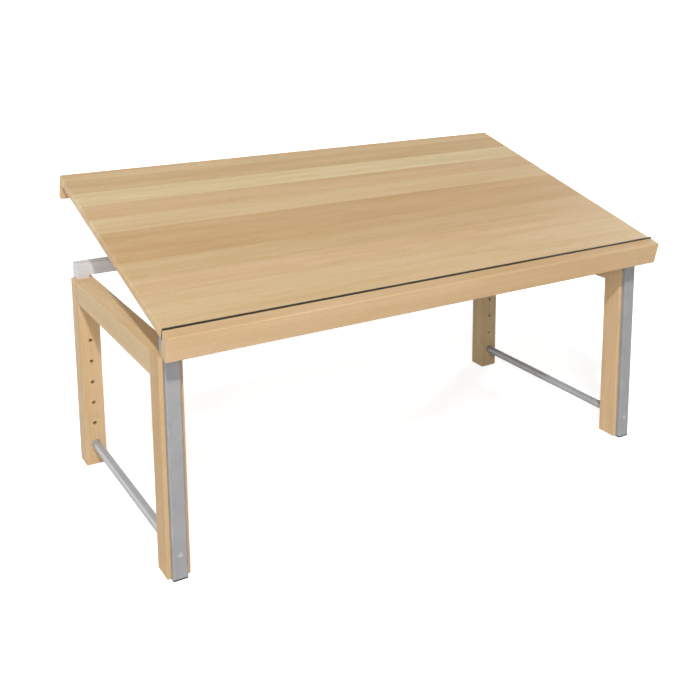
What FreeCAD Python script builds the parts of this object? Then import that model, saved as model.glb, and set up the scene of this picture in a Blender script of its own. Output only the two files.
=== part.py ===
import FreeCAD, Part
import os
import re

import Sketcher
from FreeCAD import Placement, Rotation, Vector

# A low desk with two beech side frames, a metal frame that telescopes out of them
# and a beech top that tilts about a pair of hinges on the front crossbar.
# Millimetres and degrees; +X to the sitter's right, +Y to the back, +Z up from the floor.
# The origin is on the floor, under the middle of the box around the desk.

DIMENSIONS = (
    # The two wooden side frames
    ("frame_width", 1188, "over the outer faces of the two side frames"),
    ("frame_depth", 582, "over the front and rear faces of a side frame"),
    ("frame_front", -275.43, "front face of the front legs"),
    ("pad_height", 2, "felt pad under a leg"),
    ("pad_radius", 12, "felt pad under a leg"),
    ("leg_length", 439, "wooden leg, from its foot to its top"),
    ("leg_width", 46, "wooden leg, left to right"),
    ("leg_depth", 50, "wooden leg, front to back"),
    ("channel_width", 30.6, "groove that a post slides in"),
    ("channel_depth", 19.3, "groove that a post slides in"),
    ("hole_count", 6, "height holes in a leg"),
    ("hole_pitch", 50, "height step"),
    ("lowest_hole", 50, "lowest height hole, above the leg's foot"),
    ("hole_radius", 4.2, "height hole"),
    ("side_rail_height", 48, "rail between the legs of a side frame"),
    ("wood_round", 1.5, "rounding of the frame's long edges"),
    ("dowel_radius", 4, "beech dowel"),
    ("dowel_depth", 20, "dowel in each of the two pieces it joins"),
    ("dowel_offset", 12, "dowel above or below the middle of the side rail"),
    # Stretchers and the bolts that clamp them to the legs
    ("stretcher_radius", 10, "round tube between front and rear leg"),
    ("stretcher_wall", 2, "round tube between front and rear leg"),
    ("insert_length", 20, "threaded plug in a stretcher's end"),
    ("bolt_radius", 4, "M8 shank"),
    ("bolt_length", 50, "M8 bolt under its head"),
    ("bolt_head_radius", 6.5, "M8 socket head"),
    ("bolt_head_height", 8, "M8 socket head"),
    ("socket_across", 6, "hexagon socket, across its flats"),
    ("washer_radius", 8, "washer under the bolt's head"),
    ("washer_height", 1.6, "washer"),
    # The metal frame
    ("tube_size", 30, "square tube of posts, crossbars and bearers"),
    ("tube_wall", 2, "square tube"),
    ("tube_round", 3, "outer corner of the square tube"),
    ("post_proud", 11, "post in front of the wooden leg's face"),
    ("bar_top", 476, "top of the crossbars at the lowest setting"),
    ("slot_half", 4.4, "half the width of a slot for an M8 bolt"),
    ("glide_plate", 3, "plastic glide under a post"),
    ("glide_insert", 15, "part of a glide inside the post"),
    ("glide_play", 0.2, "glide to the post's inner wall"),
    ("notch_half", 8.6, "half the width of the glide's notch for the bolt head"),
    ("notch_depth", 12.5, "glide's notch for the bolt head"),
    ("plug_radius", 4.5, "plug in the hole in front of the bolt head"),
    ("plug_rim", 5.5, "plug's visible rim"),
    ("plug_rim_height", 0.8, "plug's visible rim"),
    ("bearer_x", 400, "bearers, hinges, battens and stays, from the middle"),
    ("rest_pad_radius", 11, "rubber pad that the flat top rests on"),
    ("rest_pad_height", 4, "rubber pad that the flat top rests on"),
    # Hinges
    ("pivot_setback", 4, "hinge axis behind the front face of the legs"),
    ("pivot_height", 487, "hinge axis above the floor at the lowest setting"),
    ("pivot_to_underside", 12.4, "hinge axis to the underside of the top"),
    ("hinge_plate", 3, "sheet that the hinge is bent from"),
    ("pin_radius", 3, "hinge pin"),
    ("pin_play", 0.05, "hinge pin in its holes"),
    ("pin_head_radius", 4.5, "hinge pin's head and its retaining ring"),
    ("pin_head_height", 1.5, "hinge pin's head and its retaining ring"),
    ("clevis_radius", 8.5, "round end of the lower hinge's ears"),
    ("clevis_inside", 17, "middle of the lower hinge to the inside of an ear"),
    ("clevis_half_length", 36, "lower hinge's foot, left and right"),
    ("clevis_half_depth", 12, "lower hinge's foot, front and back"),
    ("clevis_screw_x", 28, "screws of the lower hinge, from its middle"),
    ("clevis_screw_radius", 2.5, "M5 screw"),
    ("clevis_screw_length", 10, "M5 screw under its head"),
    ("clevis_screw_head", 4.5, "M5 button head"),
    ("clevis_screw_head_height", 2.5, "M5 button head"),
    ("leaf_radius", 7.5, "round end of the upper hinge's ears"),
    ("leaf_outside", 16.5, "middle of the upper hinge to the outside of an ear"),
    ("leaf_half_length", 30, "upper hinge's foot, left and right"),
    ("leaf_half_depth", 20, "upper hinge's foot, front and back"),
    ("leaf_screw_x", 23, "screws of the upper hinge, from its middle"),
    ("leaf_screw_y", 13, "screws of the upper hinge, from its middle"),
    # The tilting top
    ("tilt_angle", 14.5, "top at rest, above level"),
    ("top_width", 1200, "top, left to right"),
    ("top_depth", 700, "top over its rails, front to back"),
    ("board_thickness", 19, "glued beech board"),
    ("pivot_to_front", 68.5, "hinge axis to the front face, along the top"),
    ("front_rail_thickness", 27, "rail along the front"),
    ("front_rail_height", 51, "rail along the front"),
    ("strip_thickness", 3, "dark strip behind the front rail"),
    ("strip_proud", 3, "strip above the board"),
    ("rear_rail_thickness", 15, "rail along the back"),
    ("rear_rail_height", 54, "rail along the back"),
    ("top_round", 2, "rounding of the top's edges"),
    ("rail_dowel_count", 6, "dowels along each rail of the top"),
    ("rail_dowel_pitch", 200, "dowels along each rail of the top"),
    ("front_dowel_depth", 14, "dowel in the front rail"),
    ("rear_dowel_depth", 9, "dowel in the rear rail"),
    ("batten_width", 40, "batten under the board"),
    ("batten_thickness", 19, "batten under the board"),
    ("batten_start", 34, "batten's front end behind the hinge axis"),
    ("batten_end", 600, "batten's rear end behind the hinge axis"),
    ("batten_screw_count", 5, "screws in each batten"),
    ("batten_screw_start", 74, "first batten screw behind the hinge axis"),
    ("batten_screw_pitch", 120, "screws in each batten"),
    ("batten_sink", 8, "screw head inside the batten"),
    ("wood_screw_radius", 2, "wood screw"),
    ("wood_screw_head", 4, "wood screw's head"),
    ("wood_screw_head_height", 2.2, "wood screw's head"),
    ("wood_screw_grip", 12, "wood screw in the wood it holds"),
    # The stays that hold the tilt, and their clamps
    ("stay_radius", 480, "middle of the curved slot, from the hinge axis"),
    ("stay_half_width", 15, "stay either side of the slot's middle"),
    ("stay_thickness", 4, "steel stay"),
    ("stay_tail", 1.8, "degrees of stay past the bolt's lowest place"),
    ("stay_foot_start", 430, "straight foot of the stay behind the hinge axis"),
    ("stay_foot_end", 530, "straight foot of the stay behind the hinge axis"),
    ("stay_screw_pitch", 34, "screws of the stay's foot"),
    ("clamp_drop", 26, "clamp bolt below the hinge axis"),
    ("clamp_play", 0.1, "spacer and washer to the stay"),
    ("clamp_ring_radius", 10, "spacer and washer of the clamp"),
    ("clamp_head_radius", 9, "round head of the clamp bolt"),
    ("clamp_head_height", 4, "round head of the clamp bolt"),
    ("knob_hub_radius", 9, "star knob's hub"),
    ("knob_hub_height", 6, "star knob's hub"),
    ("knob_radius", 20, "star knob over its lobes"),
    ("knob_height", 14, "star knob's head"),
    ("knob_lobes", 6, "star knob"),
    ("knob_scallop", 7, "radius of the hollows between the lobes"),
)
SIDES = {"left": -1, "right": 1}
ENDS = {"front": 1, "rear": -1}
ORIGIN_POINT, START, END, CENTRE = -1, 1, 2, 3
SAME_PLACE = 1e-3

doc = FreeCAD.newDocument("tilting_desk")
sheet = doc.addObject("Spreadsheet::Sheet", "dims")
for row, (alias, value, meaning) in enumerate(DIMENSIONS, start=1):
    sheet.set(f"A{row}", meaning)
    sheet.set(f"B{row}", str(value))
    sheet.setAlias(f"B{row}", alias)
doc.recompute()

ALIASES = {alias for alias, value, meaning in DIMENSIONS}
SUB_PARTS = []

# Lengths that several pieces share, worked out from the sheet
LEG_X = "(frame_width - leg_width) / 2"
INNER_DEPTH = "(frame_depth - 2 * leg_depth)"
BOLT_Z = "(pad_height + lowest_hole)"
PIVOT_Y = "(frame_front + pivot_setback)"
BAR_LENGTH = "(frame_width - leg_width + tube_size)"
BEARER_LENGTH = "(frame_depth + 2 * post_proud - 2 * tube_size)"
BOARD_TOP = "(pivot_to_underside + board_thickness)"
BOARD_FRONT = "(front_rail_thickness + strip_thickness - pivot_to_front)"
BOARD_BACK = "(top_depth - rear_rail_thickness - pivot_to_front)"
BOARD_MIDDLE = "(pivot_to_underside + board_thickness / 2)"
BATTEN_FOOT = "(pivot_to_underside - batten_thickness)"
STAY_X = "(bearer_x - batten_width / 2 - stay_thickness)"
STAY_GAP = "(batten_width / 2 - tube_size / 2)"
CLAMP_ANGLE = "asin(clamp_drop / stay_radius)"
CLAMP_Y = f"(stay_radius * cos({CLAMP_ANGLE}))"
SLOT_HIGHEST = f"(-1 * {CLAMP_ANGLE})"
SLOT_LOWEST = f"(-1 * {CLAMP_ANGLE} - tilt_angle * 1 deg)"
STAY_LOWEST = f"(-1 * {CLAMP_ANGLE} - (tilt_angle + stay_tail) * 1 deg)"
BATTEN_MIDDLE = "((2 * pivot_to_underside - batten_thickness) / 2)"
KNOB_START = f"(tube_size / 2 + {STAY_GAP} + stay_thickness + 2 * clamp_play + washer_height)"
CLAMP_BOLT_LENGTH = f"(tube_size / 2 + {KNOB_START} + knob_hub_height + knob_height / 2)"

# How far a cut goes: past one wall and into the hollow, or well past the far side
ONE_WALL = "1.5 * tube_wall"
THROUGH_TUBE = "3 * tube_size"
THROUGH_LEG = "3 * leg_depth"


def formula(text):
    """The text with every alias written the way another object refers to it."""
    return re.sub(r"[a-z_]+", lambda word: f"dims.{word[0]}" if word[0] in ALIASES else word[0], text)


def number(text):
    """What a formula comes to, as a plain number."""
    result = sheet.evalExpression(text)
    return float(getattr(result, "Value", result))


def bind(item, path, text):
    item.setExpression(path, formula(text))


def named(item, name):
    """Give a finished sub-part its own label and keep it for the checks and the files."""
    item.Label = name
    SUB_PARTS.append(item)
    return item


def place(item, x="0", y="0", z="0", axis=Vector(0, 0, 1), angle=0):
    """Put an item at formulas of x, y and z, turned about one axis."""
    item.Placement = Placement(Vector(number(x), number(y), number(z)), Rotation(axis, angle))
    for letter, text in zip("xyz", (x, y, z)):
        bind(item, f"Placement.Base.{letter}", text)
    return item


def place_on_top(item, x="0"):
    """Put an item drawn about the hinge axis on the tilted top."""
    place(item, x, PIVOT_Y, "pivot_height", Vector(1, 0, 0), number("tilt_angle"))
    bind(item, "Placement.Rotation.Angle", "tilt_angle * 1 deg")
    return item


# Sketches and the features made from them

def sketch_on(body, role, lift="0"):
    """A sketch on one of the body's own origin planes, moved along that plane's normal."""
    sketch = body.newObject("Sketcher::SketchObject", f"{body.Name}_sketch")
    plane = next(item for item in body.Origin.OriginFeatures if item.Role == role)
    sketch.AttachmentSupport = [(plane, "")]
    sketch.MapMode = "FlatFace"
    sketch.AttachmentOffset = Placement(Vector(0, 0, number(lift)), Rotation())
    bind(sketch, "AttachmentOffset.Base.z", lift)
    return sketch


def pin_point(sketch, geometry, point, x, y):
    """Hold a point of the sketch at formulas of x and y from the sketch's origin."""
    for kind, text in (("DistanceX", x), ("DistanceY", y)):
        distance = Sketcher.Constraint(kind, ORIGIN_POINT, START, geometry, point, number(text))
        bind(sketch, f"Constraints[{sketch.addConstraint(distance)}]", text)


def polygon(sketch, corners):
    points = [Vector(number(x), number(y), 0) for x, y in corners]
    first = sketch.GeometryCount
    for here, there in zip(points, points[1:] + points[:1]):
        sketch.addGeometry(Part.LineSegment(here, there))
    for index, (x, y) in enumerate(corners):
        following = first + (index + 1) % len(corners)
        sketch.addConstraint(Sketcher.Constraint("Coincident", first + index, END, following, START))
        pin_point(sketch, first + index, START, x, y)


def rectangle(sketch, left, right, low, high):
    polygon(sketch, ((left, low), (right, low), (right, high), (left, high)))


def circle(sketch, x, y, radius):
    shape = Part.Circle(Vector(number(x), number(y), 0), Vector(0, 0, 1), number(radius))
    geometry = sketch.addGeometry(shape)
    pin_point(sketch, geometry, CENTRE, x, y)
    size = Sketcher.Constraint("Radius", geometry, number(radius))
    bind(sketch, f"Constraints[{sketch.addConstraint(size)}]", radius)


def pad(body, sketch, length, reverse=False, both_ways=False):
    feature = body.newObject("PartDesign::Pad", f"{body.Name}_pad")
    feature.Profile = sketch
    feature.Reversed = reverse
    feature.Midplane = both_ways
    bind(feature, "Length", length)
    return feature


def pocket(body, sketch, depth, reverse=False, both_ways=False):
    """Cut the sketch into the body and make sure that it took something away."""
    doc.recompute()
    before = body.Shape.Volume
    feature = body.newObject("PartDesign::Pocket", f"{body.Name}_pocket")
    feature.Profile = sketch
    feature.Reversed = reverse
    feature.Midplane = both_ways
    bind(feature, "Length", depth)
    doc.recompute()
    if not body.Shape.Volume < before:
        raise RuntimeError(f"{feature.Name} cuts nothing")
    return feature


def fillet(body, feature, radius, wanted):
    """Round the edges of a feature whose direction and middle the test accepts."""
    doc.recompute()
    edges = []
    for index, edge in enumerate(feature.Shape.Edges, start=1):
        if edge.Curve.TypeId == "Part::GeomLine":
            direction = edge.tangentAt(edge.FirstParameter)
            if wanted(direction, edge.CenterOfMass):
                edges.append(f"Edge{index}")
    rounding = body.newObject("PartDesign::Fillet", f"{body.Name}_fillet")
    rounding.Base = (feature, edges)
    bind(rounding, "Radius", radius)
    return rounding


def near(one, other):
    return abs(one - other) < SAME_PLACE


# Plain round pieces

def cylinder(radius, height, x="0", y="0", z="0", axis=Vector(0, 0, 1), angle=0):
    item = doc.addObject("Part::Cylinder", "cylinder")
    bind(item, "Radius", radius)
    bind(item, "Height", height)
    return place(item, x, y, z, axis, angle)


def along_x(radius, height, x, y="0", z="0"):
    return cylinder(radius, height, x, y, z, Vector(0, 1, 0), 90)


def along_y(radius, height, x, y, z="0"):
    return cylinder(radius, height, x, y, z, Vector(1, 0, 0), -90)


def cut(base, tool):
    item = doc.addObject("Part::Cut", "cut")
    item.Base = base
    item.Tool = tool
    return item


def fuse(*pieces):
    item = doc.addObject("Part::MultiFuse", "fuse")
    item.Shapes = list(pieces)
    return item


def group(name, pieces):
    item = doc.addObject("Part::Compound", name)
    item.Links = list(pieces)
    return named(item, name)


def new_body(name):
    return named(doc.addObject("PartDesign::Body", name), name)


def offsets(count, pitch):
    """Places along a line, evenly spaced about its middle, as formulas."""
    middle = (number(count) - 1) / 2
    return [f"({index - middle} * {pitch})" for index in range(int(number(count)))]


# The wooden side frames

def make_leg(name, side, end):
    """A U-shaped beech leg, drawn with its open face at y = 0 and its foot at z = 0."""
    leg = new_body(name)
    section = sketch_on(leg, "XY_Plane")
    half, groove = "leg_width / 2", "channel_width / 2"
    polygon(section, (
        (f"-{half}", "0"), (f"-{groove}", "0"), (f"-{groove}", "channel_depth"),
        (groove, "channel_depth"), (groove, "0"), (half, "0"),
        (half, "leg_depth"), (f"-{half}", "leg_depth"),
    ))
    stock = pad(leg, section, "leg_length")
    width, length = number("leg_width"), number("leg_length")
    fillet(leg, stock, "wood_round", lambda way, middle: near(abs(middle.x), width / 2) and (
        (near(abs(way.z), 1) and near(middle.y, 0)) or (near(abs(way.y), 1) and near(middle.z, length))))
    height_holes = sketch_on(leg, "XZ_Plane")
    for index in range(int(number("hole_count"))):
        circle(height_holes, "0", f"lowest_hole + {index} * hole_pitch", "hole_radius")
    pocket(leg, height_holes, THROUGH_LEG, both_ways=True)
    dowel_holes = sketch_on(leg, "XZ_Plane", "-leg_depth")
    for sign in "+-":
        height = f"leg_length - side_rail_height / 2 {sign} dowel_offset"
        circle(dowel_holes, "0", height, "dowel_radius")
    pocket(leg, dowel_holes, "dowel_depth", reverse=True)
    y = "frame_front" if end > 0 else "frame_front + frame_depth"
    place(leg, f"{side} * {LEG_X}", y, "pad_height", angle=0 if end > 0 else 180)


def make_side_rail(name, side):
    """The rail between two legs, drawn with its front end at y = 0 and its underside at z = 0."""
    rail = new_body(name)
    section = sketch_on(rail, "XZ_Plane")
    rectangle(section, "-leg_width / 2", "leg_width / 2", "0", "side_rail_height")
    stock = pad(rail, section, INNER_DEPTH, reverse=True)
    height = number("side_rail_height")
    fillet(rail, stock, "wood_round",
           lambda way, middle: near(abs(way.y), 1) and near(middle.z, height))
    for lift, reverse in (("0", False), (f"-{INNER_DEPTH}", True)):
        holes = sketch_on(rail, "XZ_Plane", lift)
        for sign in "+-":
            circle(holes, "0", f"side_rail_height / 2 {sign} dowel_offset", "dowel_radius")
        pocket(rail, holes, "dowel_depth", reverse=reverse)
    place(rail, f"{side} * {LEG_X}", "frame_front + leg_depth",
          "pad_height + leg_length - side_rail_height")


def make_side_frame_dowels():
    dowels = []
    for side in SIDES.values():
        for joint in ("frame_front + leg_depth", "frame_front + frame_depth - leg_depth"):
            for sign in "+-":
                height = f"pad_height + leg_length - side_rail_height / 2 {sign} dowel_offset"
                dowels.append(along_y("dowel_radius", "2 * dowel_depth", f"{side} * {LEG_X}",
                                      f"{joint} - dowel_depth", height))
    group("side_frame_dowels", dowels)


def make_stretcher(name, side):
    """The round tube that ties a front leg to a rear leg."""
    stretcher = new_body(name)
    section = sketch_on(stretcher, "XZ_Plane")
    circle(section, "0", "0", "stretcher_radius")
    circle(section, "0", "0", "stretcher_radius - stretcher_wall")
    pad(stretcher, section, INNER_DEPTH, reverse=True)
    place(stretcher, f"{side} * {LEG_X}", "frame_front + leg_depth", BOLT_Z)


def at_each_leg():
    """The x, the outer face and the inward direction of the four legs."""
    for side in SIDES.values():
        for end in ENDS.values():
            face = "frame_front" if end > 0 else "(frame_front + frame_depth)"
            yield f"{side} * {LEG_X}", face, end


def bored(radius, bore, length, x, y, z, end):
    """A ring along Y whose nearer face is y from the outer face of a leg."""
    turn = (Vector(1, 0, 0), -90 * end)
    return cut(cylinder(radius, length, x, y, z, *turn), cylinder(bore, length, x, y, z, *turn))


def make_stretcher_hardware():
    """Threaded plugs, bolts and washers where the stretchers meet the legs."""
    seat = "(tube_size - tube_wall - post_proud - clamp_play)"
    inserts, bolts, washers = [], [], []
    for x, face, end in at_each_leg():
        inserts.append(bored("stretcher_radius - stretcher_wall", "bolt_radius", "insert_length",
                             x, f"{face} + {end} * leg_depth", BOLT_Z, end))
        washers.append(bored("washer_radius", "bolt_radius", "washer_height",
                             x, f"{face} + {end} * ({seat} - washer_height)", BOLT_Z, end))
        under_head = f"{face} + {end} * ({seat} - washer_height)"
        crown = f"{face} + {end} * ({seat} - washer_height - bolt_head_height)"
        turn = (Vector(1, 0, 0), -90 * end)
        socket = doc.addObject("Part::Prism", "socket")
        socket.Polygon = 6
        bind(socket, "Circumradius", "socket_across / sqrt(3)")
        bind(socket, "Height", "bolt_head_height / 2")
        place(socket, x, crown, BOLT_Z, *turn)
        head = cut(cylinder("bolt_head_radius", "bolt_head_height", x, crown, BOLT_Z, *turn), socket)
        bolts.append(fuse(cylinder("bolt_radius", "bolt_length", x, under_head, BOLT_Z, *turn), head))
    group("stretcher_inserts", inserts)
    group("stretcher_bolts", bolts)
    group("stretcher_washers", washers)


def make_leg_pads():
    pads = []
    for x, face, end in at_each_leg():
        middle = f"{face} + {end} * (leg_depth + channel_depth) / 2"
        pads.append(cylinder("pad_radius", "pad_height", x, middle))
    group("leg_pads", pads)


# The metal frame that slides up out of the side frames

def make_square_tube(name, role, length, lift="0", reverse=False, both_ways=False):
    """Square tube centred across its sketch, with its outer face at 0 and its inner at its size."""
    tube = new_body(name)
    across = ("-tube_size / 2", "tube_size / 2")
    upright = ("0", "tube_size")
    sides = {"XY_Plane": across + upright, "XZ_Plane": across + upright, "YZ_Plane": upright * 2}
    outline = sketch_on(tube, role, lift)
    rectangle(outline, *sides[role])
    stock = pad(tube, outline, length, reverse, both_ways)
    along = {"XY_Plane": "z", "XZ_Plane": "y", "YZ_Plane": "x"}[role]
    fillet(tube, stock, "tube_round", lambda way, middle: near(abs(getattr(way, along)), 1))
    hollow = sketch_on(tube, role, lift)
    low, high, bottom, top = sides[role]
    rectangle(hollow, f"{low} + tube_wall", f"{high} - tube_wall",
              f"{bottom} + tube_wall", f"{top} - tube_wall")
    if both_ways:
        pocket(tube, hollow, f"2 * {length}", both_ways=True)
    else:
        pocket(tube, hollow, length, reverse=not reverse)
    return tube


def make_post(name, side, end):
    """A post, drawn with its outer face at y = 0 and the floor at z = 0."""
    post = make_square_tube(name, "XY_Plane", "(bar_top - glide_plate)", lift="glide_plate")
    outer = side * end
    mitre = sketch_on(post, "XZ_Plane")
    polygon(mitre, ((f"{outer} * tube_size / 2", "bar_top"), (f"{-outer} * tube_size / 2", "bar_top"),
                    (f"{-outer} * tube_size / 2", "bar_top - tube_size")))
    pocket(post, mitre, THROUGH_TUBE, both_ways=True)
    slot = sketch_on(post, "XZ_Plane", "-tube_size")
    rectangle(slot, "-slot_half", "slot_half", "0", BOLT_Z)
    pocket(post, slot, ONE_WALL, reverse=True)
    slot_end = sketch_on(post, "XZ_Plane", "-tube_size")
    circle(slot_end, "0", BOLT_Z, "slot_half")
    pocket(post, slot_end, ONE_WALL, reverse=True)
    access = sketch_on(post, "XZ_Plane")
    circle(access, "0", BOLT_Z, "plug_radius")
    pocket(post, access, ONE_WALL)
    y = "frame_front - post_proud" if end > 0 else "frame_front + frame_depth + post_proud"
    place(post, f"{side} * {LEG_X}", y, angle=0 if end > 0 else 180)


def make_glide(name, side, end):
    """The plastic foot of a post, notched so that it passes the head of the stretcher's bolt."""
    glide = new_body(name)
    for lift, length, inset in (("0", "glide_plate", "0"),
                                ("glide_plate", "glide_insert", "(tube_wall + glide_play)")):
        outline = sketch_on(glide, "XY_Plane", lift)
        half = f"(tube_size / 2 - {inset})"
        back = f"(tube_size - {inset})"
        floor_of_notch = "(tube_size - notch_depth)"
        polygon(outline, (
            (f"-{half}", inset), (half, inset), (half, back), ("notch_half", back),
            ("notch_half", floor_of_notch), ("-notch_half", floor_of_notch),
            ("-notch_half", back), (f"-{half}", back),
        ))
        plate = pad(glide, outline, length)
        if inset == "0":
            corner = number("tube_size / 2")
            fillet(glide, plate, "tube_round",
                   lambda way, middle: near(abs(way.z), 1) and near(abs(middle.x), corner))
    y = "frame_front - post_proud" if end > 0 else "frame_front + frame_depth + post_proud"
    place(glide, f"{side} * {LEG_X}", y, angle=0 if end > 0 else 180)


def make_access_plugs():
    plugs = []
    for x, face, end in at_each_leg():
        turn = (Vector(1, 0, 0), -90 * end)
        wall = f"{face} - {end} * post_proud"
        rim = cylinder("plug_rim", "plug_rim_height", x, f"{wall} - {end} * plug_rim_height", BOLT_Z, *turn)
        plugs.append(fuse(rim, cylinder("plug_radius", "tube_wall", x, wall, BOLT_Z, *turn)))
    group("access_plugs", plugs)


def make_crossbar(name, end):
    """A crossbar, mitred to its posts, drawn with its outer face at y = 0 and its foot at z = 0."""
    bar = make_square_tube(name, "YZ_Plane", BAR_LENGTH, both_ways=True)
    for sign in (-1, 1):
        tip = f"{sign} * {BAR_LENGTH} / 2"
        mitre = sketch_on(bar, "XZ_Plane")
        polygon(mitre, ((tip, "0"), (tip, "tube_size"), (f"{sign} * ({BAR_LENGTH} / 2 - tube_size)", "0")))
        pocket(bar, mitre, THROUGH_TUBE, both_ways=True)
    if end > 0:
        holes = sketch_on(bar, "XY_Plane", "tube_size")
        for side in SIDES.values():
            for sign in "+-":
                circle(holes, f"{side} * bearer_x {sign} clevis_screw_x",
                       "post_proud + pivot_setback", "clevis_screw_radius")
        pocket(bar, holes, ONE_WALL)
    y = "frame_front - post_proud" if end > 0 else "frame_front + frame_depth + post_proud"
    place(bar, "0", y, "bar_top - tube_size", angle=0 if end > 0 else 180)


def make_bearer(name, side):
    """The tube under a batten, between the crossbars, with a hole for the clamp bolt."""
    bearer = make_square_tube(name, "XZ_Plane", BEARER_LENGTH, reverse=True)
    start = "(tube_size - post_proud)"
    hole = sketch_on(bearer, "YZ_Plane")
    circle(hole, f"pivot_setback + {CLAMP_Y} - {start}",
           "pivot_height - clamp_drop - bar_top + tube_size", "bolt_radius")
    pocket(bearer, hole, THROUGH_TUBE, both_ways=True)
    place(bearer, f"{side} * bearer_x", f"frame_front + {start}", "bar_top - tube_size")


def make_rest_pads():
    middle = "frame_front + frame_depth + post_proud - tube_size / 2"
    group("rest_pads", [cylinder("rest_pad_radius", "rest_pad_height", f"{side} * bearer_x", middle,
                                 "bar_top") for side in SIDES.values()])


# The hinges, drawn about the middle of their pin

def add_ears(body, inside, radius, foot):
    """Two round-ended ears from the foot's height to the pin, one each side of the middle."""
    for sign in (-1, 1):
        for shape in ("shank", "eye"):
            outline = sketch_on(body, "YZ_Plane", f"{sign} * {inside}")
            if shape == "shank":
                low, high = sorted(("0", foot), key=number)
                rectangle(outline, f"-{radius}", radius, low, high)
            else:
                circle(outline, "0", "0", radius)
            pad(body, outline, "hinge_plate", reverse=sign < 0)
    pin_hole = sketch_on(body, "YZ_Plane")
    circle(pin_hole, "0", "0", "pin_radius + pin_play")
    pocket(body, pin_hole, f"4 * ({inside} + hinge_plate)", both_ways=True)


def make_clevis(name, side):
    """The lower half of a hinge, screwed to the front crossbar."""
    clevis = new_body(name)
    base = "(bar_top - pivot_height)"
    foot = sketch_on(clevis, "XY_Plane", base)
    rectangle(foot, "-clevis_half_length", "clevis_half_length", "-clevis_half_depth", "clevis_half_depth")
    pad(clevis, foot, "hinge_plate")
    add_ears(clevis, "clevis_inside", "clevis_radius", base)
    holes = sketch_on(clevis, "XY_Plane", base)
    for sign in "+-":
        circle(holes, f"{sign}clevis_screw_x", "0", "clevis_screw_radius")
    pocket(clevis, holes, "4 * hinge_plate", both_ways=True)
    place(clevis, f"{side} * bearer_x", PIVOT_Y, "pivot_height")


def make_leaf(name, side):
    """The upper half of a hinge, screwed under the board."""
    leaf = new_body(name)
    top = "(pivot_to_underside - hinge_plate)"
    foot = sketch_on(leaf, "XY_Plane", top)
    rectangle(foot, "-leaf_half_length", "leaf_half_length", "-leaf_half_depth", "leaf_half_depth")
    pad(leaf, foot, "hinge_plate")
    add_ears(leaf, "(leaf_outside - hinge_plate)", "leaf_radius", "pivot_to_underside")
    holes = sketch_on(leaf, "XY_Plane", top)
    for x, y in leaf_screw_places():
        circle(holes, x, y, "wood_screw_radius")
    pocket(leaf, holes, "4 * hinge_plate", both_ways=True)
    place_on_top(leaf, f"{side} * bearer_x")


def leaf_screw_places():
    return [(f"{x} * leaf_screw_x", f"{y} * leaf_screw_y") for x in (-1, 1) for y in (-1, 1)]


def make_hinge_pins():
    pins, rings = [], []
    outside = "(clevis_inside + hinge_plate)"
    for side in SIDES.values():
        start = f"{side} * bearer_x - {outside} - pin_head_height"
        shank = along_x("pin_radius", f"2 * {outside} + 2 * pin_head_height", start, PIVOT_Y, "pivot_height")
        head = along_x("pin_head_radius", "pin_head_height", f"{side} * bearer_x + {outside}",
                       PIVOT_Y, "pivot_height")
        pins.append(fuse(shank, head))
        ring = (start, PIVOT_Y, "pivot_height")
        rings.append(cut(along_x("pin_head_radius", "pin_head_height", *ring),
                         along_x("pin_radius", "pin_head_height", *ring)))
    group("hinge_pins", pins)
    group("hinge_pin_rings", rings)


def make_clevis_screws():
    screws = []
    seat = "bar_top + hinge_plate"
    for side in SIDES.values():
        for sign in "+-":
            x = f"{side} * bearer_x {sign} clevis_screw_x"
            shank = cylinder("clevis_screw_radius", "clevis_screw_length", x, PIVOT_Y,
                             f"{seat} - clevis_screw_length")
            head = cylinder("clevis_screw_head", "clevis_screw_head_height", x, PIVOT_Y, seat)
            screws.append(fuse(shank, head))
    group("clevis_screws", screws)


# The top, drawn level with the hinge axis at y = 0, z = 0

def rail_dowel_places():
    return offsets("rail_dowel_count", "rail_dowel_pitch")


def batten_screw_places():
    count = int(number("batten_screw_count"))
    return [f"(batten_screw_start + {index} * batten_screw_pitch)" for index in range(count)]


def make_top_piece(name, front, back, low, high, rounded):
    """A straight piece across the whole width of the top, rounded where the test says."""
    piece = new_body(name)
    section = sketch_on(piece, "YZ_Plane")
    rectangle(section, front, back, low, high)
    stock = pad(piece, section, "top_width", both_ways=True)
    if rounded:
        fillet(piece, stock, "top_round", rounded)
    return piece


def dowel_holes(piece, face, depth, reverse=False):
    """Blind holes for the rail dowels in the face of a piece of the top."""
    holes = sketch_on(piece, "XZ_Plane", f"-{face}")
    for x in rail_dowel_places():
        circle(holes, x, BOARD_MIDDLE, "dowel_radius")
    pocket(piece, holes, depth, reverse=reverse)


def make_board():
    """The glued beech board, with blind holes for dowels and screws."""
    half = number("top_width / 2")
    board = make_top_piece("top_board", BOARD_FRONT, BOARD_BACK, "pivot_to_underside", BOARD_TOP,
                           lambda way, middle: near(abs(way.y), 1) and near(abs(middle.x), half))
    dowel_holes(board, BOARD_FRONT, "dowel_depth")
    dowel_holes(board, BOARD_BACK, "dowel_depth", reverse=True)
    screw_holes = sketch_on(board, "XY_Plane", "pivot_to_underside")
    for side in SIDES.values():
        for y in batten_screw_places():
            circle(screw_holes, f"{side} * bearer_x", y, "wood_screw_radius")
        for x, y in leaf_screw_places():
            circle(screw_holes, f"{side} * bearer_x + {x}", y, "wood_screw_radius")
    pocket(board, screw_holes, "wood_screw_grip", reverse=True)
    place_on_top(board)


def make_front_rail():
    front, foot = "-pivot_to_front", f"({BOARD_TOP} - front_rail_height)"
    back, top = "(front_rail_thickness - pivot_to_front)", BOARD_TOP
    inner, high = number(back), number(top)
    rail = make_top_piece("front_rail", front, back, foot, top,
                          lambda way, middle: not (near(middle.y, inner) and near(middle.z, high)))
    dowel_holes(rail, back, "front_dowel_depth", reverse=True)
    place_on_top(rail)


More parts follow.
